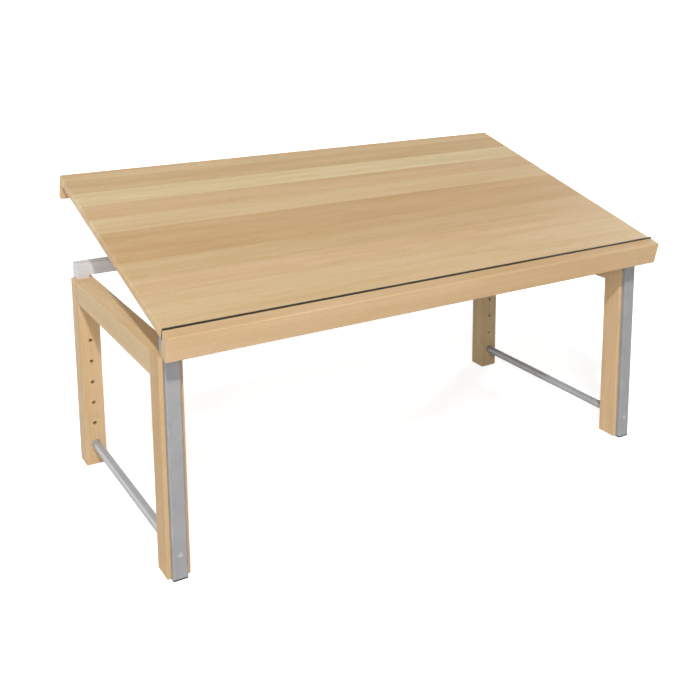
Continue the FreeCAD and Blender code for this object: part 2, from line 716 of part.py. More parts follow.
def make_rear_rail():
    foot = f"({BOARD_TOP} - rear_rail_height)"
    inner, high = number(BOARD_BACK), number(BOARD_TOP)
    rail = make_top_piece("rear_rail", BOARD_BACK, "(top_depth - pivot_to_front)", foot, BOARD_TOP,
                          lambda way, middle: not (near(middle.y, inner) and near(middle.z, high)))
    dowel_holes(rail, BOARD_BACK, "rear_dowel_depth")
    place_on_top(rail)


def make_stop_strip():
    """The thin dark strip that stops pencils, held between the front rail and the board."""
    front = "(front_rail_thickness - pivot_to_front)"
    strip = make_top_piece("stop_strip", front, BOARD_FRONT, "pivot_to_underside",
                           f"({BOARD_TOP} + strip_proud)", None)
    dowel_holes(strip, front, "strip_thickness")
    place_on_top(strip)


def make_top_dowels():
    front = "(front_rail_thickness - pivot_to_front - front_dowel_depth)"
    dowels = []
    for x in rail_dowel_places():
        dowels.append(along_y("dowel_radius", "front_dowel_depth + strip_thickness + dowel_depth",
                              x, front, BOARD_MIDDLE))
        dowels.append(along_y("dowel_radius", "rear_dowel_depth + dowel_depth",
                              x, f"({BOARD_BACK} - dowel_depth)", BOARD_MIDDLE))
    place_on_top(group("top_dowels", dowels))


def stay_screw_places():
    middle = "(stay_foot_start + stay_foot_end) / 2"
    return [f"({middle} + {index} * stay_screw_pitch)" for index in (-1, 0, 1)]


def make_batten(name, side):
    """A batten that keeps the board flat and carries a stay on its inner side."""
    batten = new_body(name)
    section = sketch_on(batten, "XZ_Plane", "-batten_start")
    rectangle(section, "-batten_width / 2", "batten_width / 2", BATTEN_FOOT, "pivot_to_underside")
    pad(batten, section, "batten_end - batten_start", reverse=True)
    for radius, depth in (("wood_screw_radius", "2 * batten_thickness"), ("wood_screw_head", "batten_sink")):
        holes = sketch_on(batten, "XY_Plane", BATTEN_FOOT)
        for y in batten_screw_places():
            circle(holes, "0", y, radius)
        pocket(batten, holes, depth, reverse=True)
    inner_face = f"{-side} * batten_width / 2"
    side_holes = sketch_on(batten, "YZ_Plane", inner_face)
    for y in stay_screw_places():
        circle(side_holes, y, BATTEN_MIDDLE, "wood_screw_radius")
    pocket(batten, side_holes, "wood_screw_grip", reverse=side > 0)
    place_on_top(batten, f"{side} * bearer_x")


def wood_screw(length, x, y, z, axis, angle):
    """A wood screw with a flat head, its head's outer face at the given place."""
    return fuse(cylinder("wood_screw_radius", length, x, y, z, axis, angle),
                cylinder("wood_screw_head", "wood_screw_head_height", x, y, z, axis, angle))


def make_top_screws():
    """The screws of the battens, the upper hinge halves and the stays."""
    batten, leaf, stay = [], [], []
    up = (Vector(0, 0, 1), 0)
    batten_length = "batten_thickness - batten_sink + wood_screw_head_height + wood_screw_grip"
    leaf_length = "hinge_plate + wood_screw_head_height + wood_screw_grip"
    stay_length = "stay_thickness + wood_screw_head_height + wood_screw_grip"
    for side in SIDES.values():
        for y in batten_screw_places():
            batten.append(wood_screw(batten_length, f"{side} * bearer_x", y,
                                     f"{BATTEN_FOOT} + batten_sink - wood_screw_head_height", *up))
        for x, y in leaf_screw_places():
            leaf.append(wood_screw(leaf_length, f"{side} * bearer_x + {x}", y,
                                   "pivot_to_underside - hinge_plate - wood_screw_head_height", *up))
        for y in stay_screw_places():
            stay.append(wood_screw(stay_length, f"{side} * ({STAY_X} - wood_screw_head_height)", y,
                                   BATTEN_MIDDLE, Vector(0, 1, 0), 90 * side))
    for name, screws in (("batten_screws", batten), ("leaf_screws", leaf), ("stay_screws", stay)):
        place_on_top(group(name, screws))


# The stays and their clamps

def sector(radius, lowest, highest, x):
    """A slice of a disc about the hinge axis, as thick as the stay, between two angles from level."""
    item = doc.addObject("Part::Cylinder", "sector")
    bind(item, "Radius", radius)
    bind(item, "Height", "stay_thickness")
    bind(item, "Angle", f"{highest} - {lowest}")
    bind(item, "Placement", f"placement(vector({x}; 0; 0); rotation(90 deg; -{lowest}; 90 deg))")
    return item


def on_arc(radius, angle, x):
    """A disc as thick as the stay, centred on the slot's middle line at an angle from level."""
    return along_x(radius, "stay_thickness", x, f"stay_radius * cos({angle})", f"stay_radius * sin({angle})")


def make_stay(name, side):
    """A flat steel arc with a curved slot, screwed to the inner side of a batten."""
    x = STAY_X if side > 0 else f"(-1 * {STAY_X} - stay_thickness)"
    limb = cut(sector("stay_radius + stay_half_width", STAY_LOWEST, "(0 deg)", x),
               sector("stay_radius - stay_half_width", STAY_LOWEST, "(0 deg)", x))
    foot = doc.addObject("Part::Box", "foot")
    bind(foot, "Length", "stay_thickness")
    bind(foot, "Width", "stay_foot_end - stay_foot_start")
    bind(foot, "Height", "batten_thickness")
    place(foot, x, "stay_foot_start", BATTEN_FOOT)
    slot = cut(sector("stay_radius + slot_half", SLOT_LOWEST, SLOT_HIGHEST, x),
               sector("stay_radius - slot_half", SLOT_LOWEST, SLOT_HIGHEST, x))
    slot_ends = [on_arc("slot_half", angle, x) for angle in (SLOT_LOWEST, SLOT_HIGHEST)]
    screw_holes = [along_x("wood_screw_radius", "stay_thickness", x, y, BATTEN_MIDDLE)
                   for y in stay_screw_places()]
    blank = fuse(limb, on_arc("stay_half_width", STAY_LOWEST, x), foot)
    stay = cut(blank, fuse(slot, *slot_ends, *screw_holes))
    place_on_top(named(stay, name))


def clamp_ring(side, gap_start, length):
    """A ring round the clamp bolt, its nearer face inward of the bearer's inner side."""
    start = f"{side} * (bearer_x - tube_size / 2 - {gap_start})"
    height = "pivot_height - clamp_drop"
    y = f"{PIVOT_Y} + {CLAMP_Y}"
    turn = (Vector(0, 1, 0), -90 * side)
    return cut(cylinder("clamp_ring_radius", length, start, y, height, *turn),
               cylinder("bolt_radius", length, start, y, height, *turn))


def make_clamps():
    """Bolts, spacers and washers of the two clamps."""
    bolts, spacers, washers = [], [], []
    washer_start = f"({STAY_GAP} + stay_thickness + clamp_play)"
    middle = (f"{PIVOT_Y} + {CLAMP_Y}", "pivot_height - clamp_drop")
    outside = "(bearer_x + tube_size / 2)"
    for side in SIDES.values():
        turn = (Vector(0, 1, 0), -90 * side)
        shank = cylinder("bolt_radius", CLAMP_BOLT_LENGTH, f"{side} * {outside}", *middle, *turn)
        head = cylinder("clamp_head_radius", "clamp_head_height",
                        f"{side} * ({outside} + clamp_head_height)", *middle, *turn)
        bolts.append(fuse(shank, head))
        spacers.append(clamp_ring(side, "0", f"{STAY_GAP} - clamp_play"))
        washers.append(clamp_ring(side, washer_start, "washer_height"))
    group("clamp_bolts", bolts)
    group("clamp_spacers", spacers)
    group("clamp_washers", washers)


def make_knob(name, side):
    """A star knob on the clamp bolt, drawn about the bolt's axis with its hub's foot at z = 0."""
    knob = new_body(name)
    hub = sketch_on(knob, "XY_Plane")
    circle(hub, "0", "0", "knob_hub_radius")
    pad(knob, hub, "knob_hub_height + knob_height / 2")
    head = sketch_on(knob, "XY_Plane", "knob_hub_height")
    circle(head, "0", "0", "knob_radius")
    pad(knob, head, "knob_height")
    hollows = sketch_on(knob, "XY_Plane", "knob_hub_height")
    for index in range(int(number("knob_lobes"))):
        turn = f"({index} * 360 / knob_lobes * 1 deg)"
        reach = "(knob_radius + knob_scallop / 2)"
        circle(hollows, f"{reach} * cos({turn})", f"{reach} * sin({turn})", "knob_scallop")
    pocket(knob, hollows, "knob_height", reverse=True)
    bore = sketch_on(knob, "XY_Plane")
    circle(bore, "0", "0", "bolt_radius + pin_play")
    pocket(knob, bore, "knob_hub_height + knob_height / 2 + pin_play", reverse=True)
    place(knob, f"{side} * (bearer_x - {KNOB_START})", f"{PIVOT_Y} + {CLAMP_Y}",
          "pivot_height - clamp_drop", Vector(0, 1, 0), -90 * side)


# Build every sub-part

for side_name, side in SIDES.items():
    for end_name, end in ENDS.items():
        make_leg(f"{side_name}_{end_name}_leg", side, end)
        make_post(f"{side_name}_{end_name}_post", side, end)
        make_glide(f"{side_name}_{end_name}_glide", side, end)
    make_side_rail(f"{side_name}_side_rail", side)
    make_stretcher(f"{side_name}_stretcher", side)
    make_bearer(f"{side_name}_bearer", side)
    make_clevis(f"{side_name}_hinge_clevis", side)
    make_leaf(f"{side_name}_hinge_leaf", side)
    make_batten(f"{side_name}_batten", side)
    make_stay(f"{side_name}_stay", side)
    make_knob(f"{side_name}_clamp_knob", side)
for end_name, end in ENDS.items():
    make_crossbar(f"{end_name}_crossbar", end)
make_side_frame_dowels()
make_stretcher_hardware()
make_leg_pads()
make_access_plugs()
make_rest_pads()
make_hinge_pins()
make_clevis_screws()
make_board()
make_front_rail()
make_rear_rail()
make_stop_strip()
make_top_dowels()
make_top_screws()
make_clamps()

# Check everything before any file is written

doc.recompute()
for item in doc.Objects:
    if {"Invalid", "Error"} & set(item.State):
        raise RuntimeError(f"{item.Label} failed: {item.State}")
for item in SUB_PARTS:
    if item.Shape.isNull() or not item.Shape.isValid() or not item.Shape.Solids:
        raise RuntimeError(f"{item.Label} has no valid solid")

os.makedirs("parts", exist_ok=True)
for item in SUB_PARTS:
    item.Shape.exportStep(f"parts/{item.Label}.step")
    box = item.Shape.BoundBox
    print(f"{item.Label}: {len(item.Shape.Solids)} solid(s), x {box.XMin:.2f} {box.XMax:.2f}, "
          f"y {box.YMin:.2f} {box.YMax:.2f}, z {box.ZMin:.2f} {box.ZMax:.2f}")
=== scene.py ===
# %% [markdown]
# # A tilting school desk in beech
# The desk is a beech top on two hinges, a grey metal frame on four posts, and two
# beech side frames that the posts slide in. Its shapes, sizes and moving bodies come
# from a CAD model. They could be modelled again here, but then two sets of sizes would
# drift apart, so the CAD solids are loaded as a fixed frame and kept wherever they are
# fine enough. What is left to do in Blender is the looks: the wood, the metal and
# plastic, the screws, knobs and welds, and the light. Everything is in metres, with +X
# to the sitter's right, +Y to the back and +Z up.

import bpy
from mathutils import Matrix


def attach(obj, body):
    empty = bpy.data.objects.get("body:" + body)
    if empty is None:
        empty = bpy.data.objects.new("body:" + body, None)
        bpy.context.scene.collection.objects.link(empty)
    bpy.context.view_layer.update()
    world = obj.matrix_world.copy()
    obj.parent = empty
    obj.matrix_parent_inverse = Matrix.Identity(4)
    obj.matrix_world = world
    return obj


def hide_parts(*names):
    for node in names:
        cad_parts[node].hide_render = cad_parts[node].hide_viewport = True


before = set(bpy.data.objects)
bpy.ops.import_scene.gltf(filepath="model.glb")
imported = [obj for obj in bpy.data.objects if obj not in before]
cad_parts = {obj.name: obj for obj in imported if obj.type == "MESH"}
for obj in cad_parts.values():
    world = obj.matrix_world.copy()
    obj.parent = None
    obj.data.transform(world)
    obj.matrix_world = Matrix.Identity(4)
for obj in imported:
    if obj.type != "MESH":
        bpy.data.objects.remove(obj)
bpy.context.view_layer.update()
print("nodes:", len(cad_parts))

# %% [markdown]
# ## Measures that several pieces share
# The frame is welded from square tube. Its two bearers, and the hinges and battens over
# them, stand equally far from the middle. The top and all that is fixed to it stand at
# an angle, turned about the hinge line. Places on it could be worked out one by one in
# the room's directions, but one matrix does that for all of them: it takes a point that
# is measured square to the top and puts it in its place. So a screw in the top can be
# written as so far back and so far up from the hinge. Measures are in millimetres, as
# on a drawing, and are scaled when they are used.

# %% Shared measures
import math

import bpy
import bmesh
from mathutils import Euler, Matrix, Vector

MM = 0.001
SIDES = (-1, 1)
HANDS = ("left", "right")
BEARER_X = 400
HALF_TUBE = 15
BAR_UNDER, BAR_TOP = 446, 476
FRONT_BAR_Y, REAR_BAR_Y = -271.43, 302.57
TILT = math.radians(14.5)
HINGE = Vector((0, FRONT_BAR_Y, 487)) * MM
TOP_FRAME = Matrix.Translation(HINGE) @ Matrix.Rotation(TILT, 4, "X")


def on_top(x, y, z):
    """A point given in millimetres along and square to the top."""
    return TOP_FRAME @ (Vector((x, y, z)) * MM)


print("hinge line at", [round(v, 4) for v in HINGE])

# %% [markdown]
# ## Camera
# The camera stands in front of the desk and to its left, at a grown-up's chest height,
# and looks only ten degrees down. It could look down more steeply, but then the legs
# would lean together. So the lens is slid down instead, as on a view camera. The slide
# is a share of the picture's width.

# %% Camera
lens = bpy.data.cameras.new("studio_camera")
lens.lens = 52.294
lens.sensor_width = 36
lens.shift_x = -0.0543
lens.shift_y = -0.2714
lens.clip_end = 100
camera = bpy.data.objects.new("studio_camera", lens)
camera.location = (-1.1627, -1.9678, 1.1212)
camera.rotation_euler = (math.radians(90 - 10.356), 0, math.radians(-31.981))
bpy.context.scene.collection.objects.link(camera)
bpy.context.scene.camera = camera
print("lens", round(lens.lens, 1), "mm at", [round(v, 3) for v in camera.location])

# %% [markdown]
# ## Colours
# Paint charts and web pages give a colour as six hex digits, made for a screen. Blender
# adds up light, so it wants linear values. They could be typed in as decimals, but hex
# digits can be held against a chart, so one function turns them into linear light.

# %% Colours


def srgb(code):
    """A screen colour such as #C8A77E as linear red, green, blue and alpha."""
    channels = [int(code[i:i + 2], 16) / 255 for i in (1, 3, 5)]
    return (*(c / 12.92 if c <= 0.04045 else ((c + 0.055) / 1.055) ** 2.4 for c in channels), 1)


print("pale beech in linear light:", [round(c, 3) for c in srgb("#DCC6A0")])

# %% [markdown]
# ## Nodes
# Finishes are made of nodes, and so are the pieces that repeat. Nodes could be placed
# and linked by hand in an editor, but a script makes them the same each time. One
# function adds a node to a tree. It takes the node's settings by name, and its inputs as
# plain values, nodes or sockets. A node that is given stands for its output, and a list
# links several nodes to one input.

# %% Nodes


def add(tree, kind, inputs=None, **settings):
    """Add a node to a tree with its settings, values and links."""
    node = tree.nodes.new(kind)
    for name, value in settings.items():
        setattr(node, name, value)
    for name, value in (inputs or {}).items():
        socket = node.inputs[name] if isinstance(name, int) else next(
            s for s in node.inputs if s.enabled and s.name == name)
        for source in value if isinstance(value, list) else [value]:
            if isinstance(source, bpy.types.Node):
                source = next(s for s in source.outputs if s.enabled)
            if isinstance(source, bpy.types.NodeSocket):
                tree.links.new(source, socket)
            else:
                socket.default_value = source
    return node


print("ready:", add.__doc__)

# %% [markdown]
# ## Beech, solid through and through
# Beech is a pale, even wood, and every piece of the desk comes from another tree. A
# picture of wood could be wrapped round each piece, but its faces and its end grain
# would not fit together. So the wood is solid here: it fills a log, and each piece is
# cut out of it. The first nodes tell the pieces apart. They are given a place in
# millimetres, with x along the grain, and the size of one piece. They find the middle of
# the piece that the place lies in, and draw three numbers by chance for it.

# %% A log for each piece
log = bpy.data.node_groups.new("solid_beech", "ShaderNodeTree")
for name in ("Place", "Piece size"):
    log.interface.new_socket(name, in_out="INPUT", socket_type="NodeSocketVector")
for name in ("Chance", "Row", "Figure", "Dash", "Grain", "Joint"):
    log.interface.new_socket(name, in_out="OUTPUT", socket_type="NodeSocketFloat")
asked = add(log, "NodeGroupInput").outputs
piece_size = asked["Piece size"]
corner = add(log, "ShaderNodeVectorMath", {0: asked["Place"], 1: piece_size}, operation="SNAP")
reach = add(log, "ShaderNodeVectorMath", {0: piece_size, "Scale": 0.5}, operation="SCALE")
middle = add(log, "ShaderNodeVectorMath", {0: corner, 1: reach}, operation="ADD")
local = add(log, "ShaderNodeVectorMath", {0: asked["Place"], 1: middle}, operation="SUBTRACT")
luck = add(log, "ShaderNodeTexWhiteNoise", {"Vector": corner}, noise_dimensions="3D")
chance = add(log, "ShaderNodeSeparateColor", {"Color": luck.outputs["Color"]})

# The log's heart lies at some distance under the piece and a little to one side
HEART_SPREAD, HEART_FROM = (4000, 90, 140), (0, -45, 45)
heart = add(log, "ShaderNodeVectorMath", {0: luck.outputs["Color"], 1: HEART_SPREAD, 2: HEART_FROM},
            operation="MULTIPLY_ADD")
in_log = add(log, "ShaderNodeVectorMath", {0: local, 1: heart}, operation="ADD")
print("a place in a log takes", len(log.nodes), "nodes")

# %% [markdown]
# ## Streaks, fibres and yearly rings
# Long streaks follow the grain of beech, and so do fibres that a finger can feel. Both
# could be painted, but a noise that is stretched along x does the same and never ends.
# The yearly rings show as soft lines, a few millimetres apart, that run straight in some
# boards and in long arches in others. They are circles round the log's heart. A slow
# noise sways them, and each one is darkest at its end, where the wood grew late in the
# year.

# %% Streaks, fibres and yearly rings
# Each noise is so many millimetres long and wide, with this detail and roughness. Real
# fibres are finer than 0.1 mm, and are drawn coarser to show.
NOISES = {"sway": (520, 60, 2, 0.5), "broad": (420, 26, 3, 0.55), "narrow": (160, 3.2, 2, 0.5),
          "fibre": (26, 1.1, 2, 0.5)}
noise = {}
for name, (length, width, detail, roughness) in NOISES.items():
    stretched = add(log, "ShaderNodeVectorMath", {0: in_log, 1: (1 / length, 1 / width, 1 / width)},
                    operation="MULTIPLY")
    noise[name] = add(log, "ShaderNodeTexNoise", {
        "Vector": stretched, "Scale": 1, "Detail": detail, "Roughness": roughness})

# Millimetres from ring to ring, and of sway. The higher the last one is, the later in its
# year a ring starts to darken.
RING_SPACING, RING_SWAY, LATE_WOOD = 3.6, 34, 3
across = add(log, "ShaderNodeVectorMath", {0: in_log, 1: (0, 1, 1)}, operation="MULTIPLY")
radius = add(log, "ShaderNodeVectorMath", {0: across}, operation="LENGTH")
swayed = add(log, "ShaderNodeMath", {0: noise["sway"], 1: RING_SWAY, 2: radius.outputs["Value"]},
             operation="MULTIPLY_ADD")
years = add(log, "ShaderNodeMath", {0: swayed, 1: 1 / RING_SPACING}, operation="MULTIPLY")
season = add(log, "ShaderNodeMath", {0: years}, operation="FRACT")
late = add(log, "ShaderNodeMath", {0: season, 1: LATE_WOOD}, operation="POWER")

# The figure is how dark the lines are, from 0 to 1. These say what each of them adds.
NO_FIGURE, BROAD, RINGS, NARROW = -0.25, 1.1, 0.16, 0.3
streaks = add(log, "ShaderNodeMath", {0: noise["broad"], 1: BROAD, 2: NO_FIGURE},
              operation="MULTIPLY_ADD")
lines = add(log, "ShaderNodeMath", {0: late, 1: RINGS, 2: streaks}, operation="MULTIPLY_ADD")
figure = add(log, "ShaderNodeMath", {0: noise["narrow"], 1: NARROW, 2: lines},
             operation="MULTIPLY_ADD", use_clamp=True)
print("the figure is mixed from", ", ".join(NOISES), "and rings", RING_SPACING, "mm apart")

# %% [markdown]
# ## Ray ends and glue lines
# The ends of the wood's rays show as tiny brown dashes, which tell beech from other pale
# woods. Small shapes could be scattered for them, but cells of a Voronoi pattern that
# are darkest at their middles are lighter to work out. The top is glued up from staves,
# and a thin line shows between two of them. It needs no shape of its own: it is where a
# place lies very near the border of its piece. The row is the stave's number, counted
# from the front.

# %% Ray ends and glue lines
RAY_CELL = 2.6     # room for one: real ends are 0.5 by 3 mm, and are drawn twice as large
RAY_LONG = 4       # how many times as long as wide
RAY_OUTSIDE, RAY_INSIDE = 0.34, 0.18     # shares of a cell at which a dash starts and is full
GLUE_LINE = 0.45   # half its width
scaled = add(log, "ShaderNodeVectorMath", {
    0: in_log, 1: (1 / (RAY_CELL * RAY_LONG), 1 / RAY_CELL, 1 / RAY_CELL)}, operation="MULTIPLY")
cells = add(log, "ShaderNodeTexVoronoi", {"Vector": scaled, "Scale": 1})
dash = add(log, "ShaderNodeMapRange", {
    "Value": cells.outputs["Distance"], "From Min": RAY_OUTSIDE, "From Max": RAY_INSIDE})

from_middle = add(log, "ShaderNodeSeparateXYZ", {"Vector": local})
from_border = add(log, "ShaderNodeSeparateXYZ", {"Vector": reach})
off = add(log, "ShaderNodeMath", {0: from_middle.outputs["Y"]}, operation="ABSOLUTE")
gap = add(log, "ShaderNodeMath", {0: from_border.outputs["Y"], 1: off}, operation="SUBTRACT")
joint = add(log, "ShaderNodeMath", {0: GLUE_LINE, 1: gap}, operation="GREATER_THAN")
rows = add(log, "ShaderNodeVectorMath", {0: middle, 1: piece_size}, operation="DIVIDE")
row = add(log, "ShaderNodeSeparateXYZ", {"Vector": rows})
add(log, "NodeGroupOutput", {
    "Chance": chance.outputs["Red"], "Row": row.outputs["Y"], "Figure": figure, "Dash": dash,
    "Grain": noise["fibre"], "Joint": joint})
print("solid beech is made of", len(log.nodes), "nodes")

# %% [markdown]
# ## Materials and colour steps
# Each finish is a material with its own node tree, which starts empty here, so that
# nothing in it comes from a default. Pieces of wood are sorted by tone. The tones could
# be so many materials, but one colour ramp with flat steps holds them all, and a number
# picks the step. The zinc further on uses the same ramp with soft steps.

# %% Materials and colour steps


def material(name):
    """A new material and its empty node tree."""
    made = bpy.data.materials.new(name)
    made.use_nodes = True
    made.node_tree.nodes.clear()
    return made, made.node_tree


def steps(ramp, colours, smooth=False):
    """Divide a colour ramp evenly into these colours."""
    ramp.color_ramp.interpolation = "EASE" if smooth else "CONSTANT"
    elements = ramp.color_ramp.elements
    while len(elements) < len(colours):
        elements.new(1)
    for index, (element, colour) in enumerate(zip(elements, colours)):
        element.position = index / (len(colours) - smooth)
        element.color = srgb(colour)


BEECH = {"light": "#E1D0AA", "pale": "#DCC6A0", "fair": "#DAC29C", "rosy": "#D9BD98",
         "warm": "#D4BA93", "deep": "#D0B28A"}
print("beech is sorted as", ", ".join(BEECH))

# %% [markdown]
# ## Varnished beech
# The beech has a satin varnish: it is smooth, with a soft shine, and the pores are
# almost filled. Each kind of piece could have a material of its own making, but they
# differ only in the way the grain runs and in how they were sorted. So one function
# makes them all. It turns the place so that x follows the grain of that piece, picks a
# tone, multiplies in the darker lines, the ray ends and the glue lines, and lets the
# fibres lift the surface by a hair.

# %% Varnished beech
# What each mark in the wood is multiplied by, and how much of it shows
MARKS = {"Figure": ("#E5D6BD", 1), "Dash": ("#C9A376", 0.16), "Joint": ("#C9A376", 0.2)}
VARNISH = {"IOR": 1.5, "Specular IOR Level": 0.12}     # rubbed down, it shines less than paint
FIBRE_LIFT = 0.04


def varnished_beech(name, turn, origin, piece, tones, by_row=False):
    """Beech cut in pieces of one size, turned so that x runs along the grain."""
    made, tree = material(name)
    where = add(tree, "ShaderNodeTexCoord")
    place = add(tree, "ShaderNodeMapping", {
        "Vector": where.outputs["Object"], "Scale": (1 / MM,) * 3, "Rotation": turn,
        "Location": -(Euler(turn).to_matrix() @ Vector(origin))})
    wood = add(tree, "ShaderNodeGroup", {"Place": place, "Piece size": piece},
               node_tree=log).outputs
    number = wood["Chance"]
    if by_row:
        number = add(tree, "ShaderNodeMath", {0: wood["Row"], 1: 1 / len(tones)},
                     operation="MULTIPLY")
    colour = add(tree, "ShaderNodeValToRGB", {"Fac": number})
    steps(colour, [BEECH[tone] for tone in tones])
    for mark, (shade, share) in MARKS.items():
        strength = add(tree, "ShaderNodeMath", {0: wood[mark], 1: share}, operation="MULTIPLY")
        colour = add(tree, "ShaderNodeMix", {"Factor": strength, "A": colour, "B": srgb(shade)},
                     data_type="RGBA", blend_type="MULTIPLY")
    gloss = add(tree, "ShaderNodeMapRange", {"Value": wood["Grain"], "To Min": 0.44,
                                             "To Max": 0.56})
    lift = add(tree, "ShaderNodeBump", {"Height": wood["Grain"], "Distance": FIBRE_LIFT * MM,
                                        "Strength": 0.6})
    shader = add(tree, "ShaderNodeBsdfPrincipled", {
        "Base Color": colour, "Roughness": gloss, "Normal": lift, **VARNISH})
    add(tree, "ShaderNodeOutputMaterial", {"Surface": shader})
    return made


print("the fibres stand up by", FIBRE_LIFT, "mm at most")

# %% [markdown]
# ## Beech pieces and their grain
# The board's staves lie side by side and their grain runs from left to right, as do the
# rails'. The legs' grain stands upright, and the battens' and side rails' runs from
# front to back. Every piece could be given its own place in the wood by hand. It is less
# work to fill the room with cells as large as the distance between two pieces, so that
# each cell holds one of them. The staves' tones are listed one by one, from the front,
# and each leg draws its tone by chance from a listed ramp of twelve.

# %% Beech pieces and their grain
STAVE, FIRST_STAVE = 64.25, -51
STAVES = ("fair", "fair", "rosy", "warm", "deep", "deep", "pale", "rosy", "light", "warm", "pale")
LEGS = ("fair", "pale", "rosy", "deep", "pale", "fair", "rosy", "rosy", "fair", "warm", "fair",
        "rosy")
LEGS_MIDDLE_Y, LEGS_APART_Y, LEGS_APART_X = 15.57, 532, 1142
RAILS_CELL, BATTENS_CELL, DOWELS_CELL = 700, 800, (0, 200, 100)
QUARTER = math.radians(90)
AT_HINGE = HINGE / MM
WOOD = {
    varnished_beech("varnished_beech_board", (-TILT, 0, 0), on_top(0, FIRST_STAVE, 0) / MM,
                    (0, STAVE, 0), STAVES, by_row=True): ["top_board"],
    varnished_beech("varnished_beech_rail", (-TILT, 0, 0), AT_HINGE, (0, RAILS_CELL, 0),
                    ("rosy",)): ["front_rail", "rear_rail"],
    varnished_beech("varnished_beech_batten", (-TILT, 0, -QUARTER), AT_HINGE,
                    (0, BATTENS_CELL, 0), ("pale", "fair")): [f"{h}_batten" for h in HANDS],
    varnished_beech("varnished_beech_leg", (0, QUARTER, 0), (0, LEGS_MIDDLE_Y, 0),
                    (0, LEGS_APART_Y, LEGS_APART_X), LEGS): [
        f"{h}_{e}_leg" for h in HANDS for e in ("front", "rear")],
    varnished_beech("varnished_beech_side_rail", (0, 0, -QUARTER), (0, 0, 0),
                    (0, LEGS_APART_X, 0), ("warm", "fair")): [f"{h}_side_rail" for h in HANDS],
    varnished_beech("turned_beech_dowel", (0, 0, -QUARTER), (0, 0, 0), DOWELS_CELL,
                    ("fair", "warm")): ["side_frame_dowels", "top_dowels"],
}


def wear(finish, nodes):
    """Give CAD nodes a finish in place of the plain one they came with."""
    for name in nodes:
        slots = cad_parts[name].data.materials
        slots.clear()
        slots.append(finish)
    print(finish.name, "on", ", ".join(nodes))


for finish, nodes in WOOD.items():
    wear(finish, nodes)

# %% [markdown]
# ## Silver-grey powder coat
# The posts, bars and stretchers are steel tubes with a baked powder coat. The powder
# melts into a skin with a faint orange peel, and a little ground aluminium in it gives
# it a silver cast. It could be drawn as bare metal, but metal only mirrors the room, and
# a coat keeps its own grey on every side. So the shader is paint with a small share of
# metal. The desk has one coat, drawn here in three greys: the crossbars, rear posts and
# bearers get a much lighter grey, which is painted light for the bright lamp light on
# the rear bar. The front posts are darker, and the stretchers lie between the two, so
# one function makes all three coats.

# %% Powder coat
# How many flakes, clouds and dimples lie in a metre: they are 1.1, 42 and 2.4 mm across.
# Real flakes are finer than 0.1 mm, and are drawn coarser to show.
FLAKES, CLOUDS, DIMPLES = 900, 24, 420
PEEL_DEPTH = 0.05
COAT_SHINE = 0.3     # a satin powder mirrors less than a gloss paint, which has 0.5


def powder_coat(name, light, dark, metallic, roughness):
    """Two close greys in flakes and clouds, on a skin like an orange's."""
    made, tree = material(name)
    where = add(tree, "ShaderNodeTexCoord")
    flakes, clouds, peel = (
        add(tree, "ShaderNodeTexNoise", {"Vector": where.outputs["Object"], "Scale": scale,
                                         "Detail": detail})
        for scale, detail in ((FLAKES, 2), (CLOUDS, 2), (DIMPLES, 1)))
    both = add(tree, "ShaderNodeMath", {0: flakes, 1: clouds}, operation="MULTIPLY")
    spread = add(tree, "ShaderNodeMapRange", {"Value": both, "From Min": 0.1, "From Max": 0.4})
    colour = add(tree, "ShaderNodeMix", {"Factor": spread, "A": srgb(dark), "B": srgb(light)},
                 data_type="RGBA")
    skin = add(tree, "ShaderNodeBump", {"Height": peel, "Distance": PEEL_DEPTH * MM,
                                        "Strength": 0.5})
    gloss = add(tree, "ShaderNodeMapRange", {"Value": flakes, "To Min": roughness - 0.05,
                                             "To Max": roughness + 0.05})
    shader = add(tree, "ShaderNodeBsdfPrincipled", {
        "Base Color": colour, "Roughness": gloss, "Normal": skin, "Metallic": metallic,
        "Specular IOR Level": COAT_SHINE})
    add(tree, "ShaderNodeOutputMaterial", {"Surface": shader})
    return made


front_coat = powder_coat("powder_coated_steel_front_posts", "#9D9D9E", "#929294", 0.04, 0.42)
# The frame's much lighter grey is painted light: it stands in for the bright lamp light on the rear
# bar.
frame_coat_painted_light = powder_coat("powder_coated_steel_frame_painted_light", "#CFCFD1", "#C4C4C7", 0.08, 0.42)
stretcher_coat = powder_coat("powder_coated_steel_stretcher", "#A8A8A9", "#9E9EA0", 0.15, 0.4)
wear(front_coat, [f"{h}_front_post" for h in HANDS])
wear(frame_coat_painted_light, ["front_crossbar", "rear_crossbar"] + [
    f"{h}_{n}" for h in HANDS for n in ("rear_post", "bearer")])
wear(stretcher_coat, [f"{h}_stretcher" for h in HANDS])

# %% [markdown]
# ## Bright zinc
# Hinges, stays, bolts and screws are steel with a thin zinc plating. It looks like clean
# steel with a cold, faintly blue or yellow cast that comes and goes. One flat grey could
# stand for it, but then the small parts look like plastic, so a slow noise picks between
# three casts. Sheet parts are rolled, and very fine lines run along them, while bolts
# and screws are pressed and have an even, fine grain. One function makes both, as only
# the stretch of the noise differs.

# %% Zinc plating
CASTS = ("#A3A8B0", "#AFB1B2", "#B4B1A6")
CASTS_IN_A_METRE = 90          # a cast is about 11 mm across
ROLLED = (2500, 60, 2500)      # lines in a metre: 0.4 mm across and 17 mm along
PRESSED = (1200, 1200, 1200)   # a grain of 0.8 mm, drawn coarser than it is to show
SCRATCH_DEPTH = 0.02


